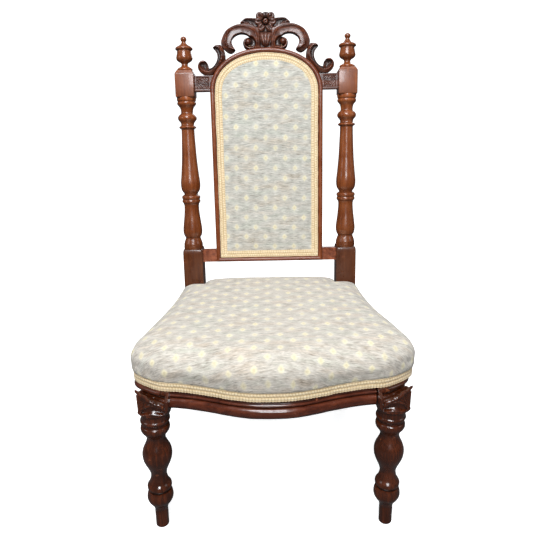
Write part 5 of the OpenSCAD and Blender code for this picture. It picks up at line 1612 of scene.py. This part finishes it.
d *= (np.minimum(L, cap) / np.maximum(L, 1e-9))[:, None]
P2 = P + d
cush.modifiers.clear()
cush.vertex_groups.clear()
bpy.data.meshes.remove(m2)
me.vertices.foreach_set("co", P2.ravel())
me.update()
scene.frame_set(1)
sb = cush.modifiers.new("fine", "SUBSURF")
sb.levels = sb.render_levels = 1
dg = bpy.context.evaluated_depsgraph_get()
m3 = bpy.data.meshes.new_from_object(cush.evaluated_get(dg))
cush.modifiers.clear()
cush.data = m3
finish_piece(cush, M_SEAT)
me = cush.data
n = len(me.vertices)
P = np.empty(n * 3, np.float32)
me.vertices.foreach_get("co", P)
P = P.reshape(-1, 3).astype(float) * 1000 + [0, YM, 0]
# cloth co-ordinates: distance over the stuffing from the middle, rolled out flat
ang = np.arctan2(P[:, 1] - SC[1], P[:, 0] - SC[0])
ra = np.arctan2(RING[:, 1] - SC[1], RING[:, 0] - SC[0])
rr = np.hypot(RING[:, 0] - SC[0], RING[:, 1] - SC[1])
o = np.argsort(ra)
r1 = np.interp(ang, ra[o], rr[o], period=2 * math.pi)
rho = np.hypot(P[:, 0] - SC[0], P[:, 1] - SC[1])
f = np.clip(rho / r1, 0, 1.05)
rt = np.roll(RING, -1, 0) - np.roll(RING, 1, 0)
rt /= np.linalg.norm(rt, axis=1)[:, None]
turn = np.sign((rt[:, 1] * (RING - SC)[:, 0] - rt[:, 0] * (RING - SC)[:, 1]).mean())
rn = np.column_stack([rt[:, 1], -rt[:, 0]]) * turn
nx = np.interp(ang, ra[o], rn[o, 0], period=2 * math.pi)
ny = np.interp(ang, ra[o], rn[o, 1], period=2 * math.pi)
nl = np.hypot(nx, ny)
nx, ny = nx / nl, ny / nl
# the lower edge comes down outside the skirt, over the top of the braid
P[:, 0] += corner_out(P[:, 0], P[:, 1])
low = sstep(319.0, 304.0, P[:, 2]) * sstep(0.955, 0.992, f)
P[:, 2] -= 3.6 * low
P[:, 0] += nx * 2.2 * low
P[:, 1] += ny * 2.2 * low
me.vertices.foreach_set("co", (row(P)).astype(np.float32).ravel())
me.update()
drop = np.clip(crown(P[:, 0], P[:, 1]) - P[:, 2], 0, 90) * sstep(0.62, 0.9, f)
run = np.interp(drop, [0, 2.3, 8.8, 22.3, 45.3, 105.3], [0, 0.1, 1.0, 5.3, 23.8, 83.8])     # cloth used up over the roll
U = P[:, 0] + nx * run
W = P[:, 1] + ny * run
put_attr(cush, "cloth", np.column_stack([U + SEAT_U, W + SEAT_V, 0 * U]))

# skirt of the cover, down behind the braid
L, _ = even(FULL_LINE, 4.0)
T = np.gradient(L, axis=0)
T /= np.linalg.norm(T, axis=1)[:, None]
O = np.column_stack([T[:, 1], -T[:, 0]])
R = []
for p, q in zip(L, O):
    a, b = p + q * 0.3, p + q * 1.9
    b = b + np.array([float(corner_out(b[0], b[1])), 0.0])
    R.append(np.array([(a[0], a[1], 288.2), (b[0], b[1], 288.0), (b[0], b[1], 296), (b[0], b[1], 303.4), (b[0] - q[0] * 0.6, b[1] - q[1] * 0.6, 304.2), (a[0], a[1], 304.0)]))
V, F = ring_loft(R)
ob = build("cover_skirt", row(V), F, M_SEAT, [])
fix_normals(ob)
s = np.repeat(np.arange(len(L)) * 4.0, 6)
put_attr(ob, "cloth", np.column_stack([s, V[:, 2] - 300, 0 * s]))

# ------------------------------------------------------------------ floor, light, camera
bpy.ops.mesh.primitive_plane_add(size=14, location=(0, 0, 0))
floor = bpy.context.object
floor.name = "studio_floor"
N = Nodes("studio_white")
seen = N.node("LightPath").outputs["Is Camera Ray"]
far = N.node("VectorMath", {0: N.node("TexCoord").outputs["Object"]}, operation="LENGTH").outputs["Value"]
N.set(Base_Color=N.mix(seen, (0.10, 0.10, 0.10, 1), (0.80, 0.80, 0.80, 1)), Roughness=0.9, Emission_Color=(1, 1, 1, 1),
      Emission_Strength=N.m("MULTIPLY", seen, N.fit(far, 0.7, 2.2, 0.72, 1.1)))
N.bsdf.inputs["Specular IOR Level"].default_value = 0.0
floor.data.materials.append(N.mat)

# white behind the chair, dim for the light that it gives
world = bpy.data.worlds.new("studio") if scene.world is None else scene.world
scene.world = world
world.use_nodes = True
wt = world.node_tree
bg = wt.nodes.get("Background") or wt.nodes.new("ShaderNodeBackground")
bg.inputs["Color"].default_value = (0.97, 0.985, 1.0, 1)
lp = wt.nodes.new("ShaderNodeLightPath")
dim = wt.nodes.new("ShaderNodeMath")
dim.operation = "MULTIPLY_ADD"
wt.links.new(lp.outputs["Is Glossy Ray"], dim.inputs[0])
dim.inputs[1].default_value, dim.inputs[2].default_value = -0.16, 0.27
ma = wt.nodes.new("ShaderNodeMath")
ma.operation = "MULTIPLY_ADD"
wt.links.new(lp.outputs["Is Camera Ray"], ma.inputs[0])
ma.inputs[1].default_value = 1.1
wt.links.new(dim.outputs[0], ma.inputs[2])
wt.links.new(ma.outputs[0], bg.inputs["Strength"])


def area(name, loc, at, size, power, color=(1, 1, 1), size_y=None):
    d = bpy.data.lights.new(name, "AREA")
    d.energy, d.color = power, color
    d.shape = "RECTANGLE"
    d.size, d.size_y = size, size_y or size
    o = bpy.data.objects.new(name, d)
    scene.collection.objects.link(o)
    o.location = loc
    o.rotation_euler = (Vector(at) - Vector(loc)).to_track_quat("-Z", "Y").to_euler()
    return o


area("front_soft", (-0.20, -1.30, 2.20), (0, 0.05, 0.55), 0.9, 46, (0.93, 0.965, 1.0), 0.8)
area("front_low", (0.02, -2.5, 1.58), (0, 0, 0.3), 0.75, 31, (0.93, 0.965, 1.0), 0.6)
area("left_soft", (-2.2, -0.8, 1.5), (0, 0, 0.5), 0.8, 5.5, (0.95, 0.975, 1.0))
area("right_soft", (2.2, -0.7, 1.5), (0, 0, 0.5), 0.8, 4, (0.97, 0.985, 1.0))
area("back_soft", (0.7, 2.6, 1.7), (0, 0, 0.5), 1.0, 12, (0.96, 0.98, 1.0))
area("top_soft", (0.0, 0.1, 2.6), (0, 0, 0.4), 1.2, 12, (0.96, 0.98, 1.0))

f_px = 516.365
th, ps, ro = math.radians(15.594), math.radians(0.521), math.radians(-1.175)
Fv = np.array([-math.sin(ps) * math.cos(th), math.cos(ps) * math.cos(th), -math.sin(th)])
Rv = np.array([math.cos(ps), math.sin(ps), 0])
Uv = np.cross(Rv, Fv)
R2 = math.cos(ro) * Rv + math.sin(ro) * Uv
U2 = -math.sin(ro) * Rv + math.cos(ro) * Uv
C = np.array([3.41, -829.2 - YM, 744.4]) / 1000
cam_d = bpy.data.cameras.new("cam")
cam = bpy.data.objects.new("cam", cam_d)
scene.collection.objects.link(cam)
M = Matrix.Identity(4)
for i in range(3):
    M[i][0], M[i][1], M[i][2], M[i][3] = R2[i], U2[i], -Fv[i], C[i]
cam.matrix_world = M
cam_d.sensor_width = 36
cam_d.lens = f_px * 36 / 533
cam_d.shift_y = -(266.5 - 266.15) / 533
cam_d.clip_start, cam_d.clip_end = 0.05, 50
scene.camera = cam
scene.view_settings.view_transform = "Standard"
scene.view_settings.look = "None"
scene.view_settings.exposure = 0.0
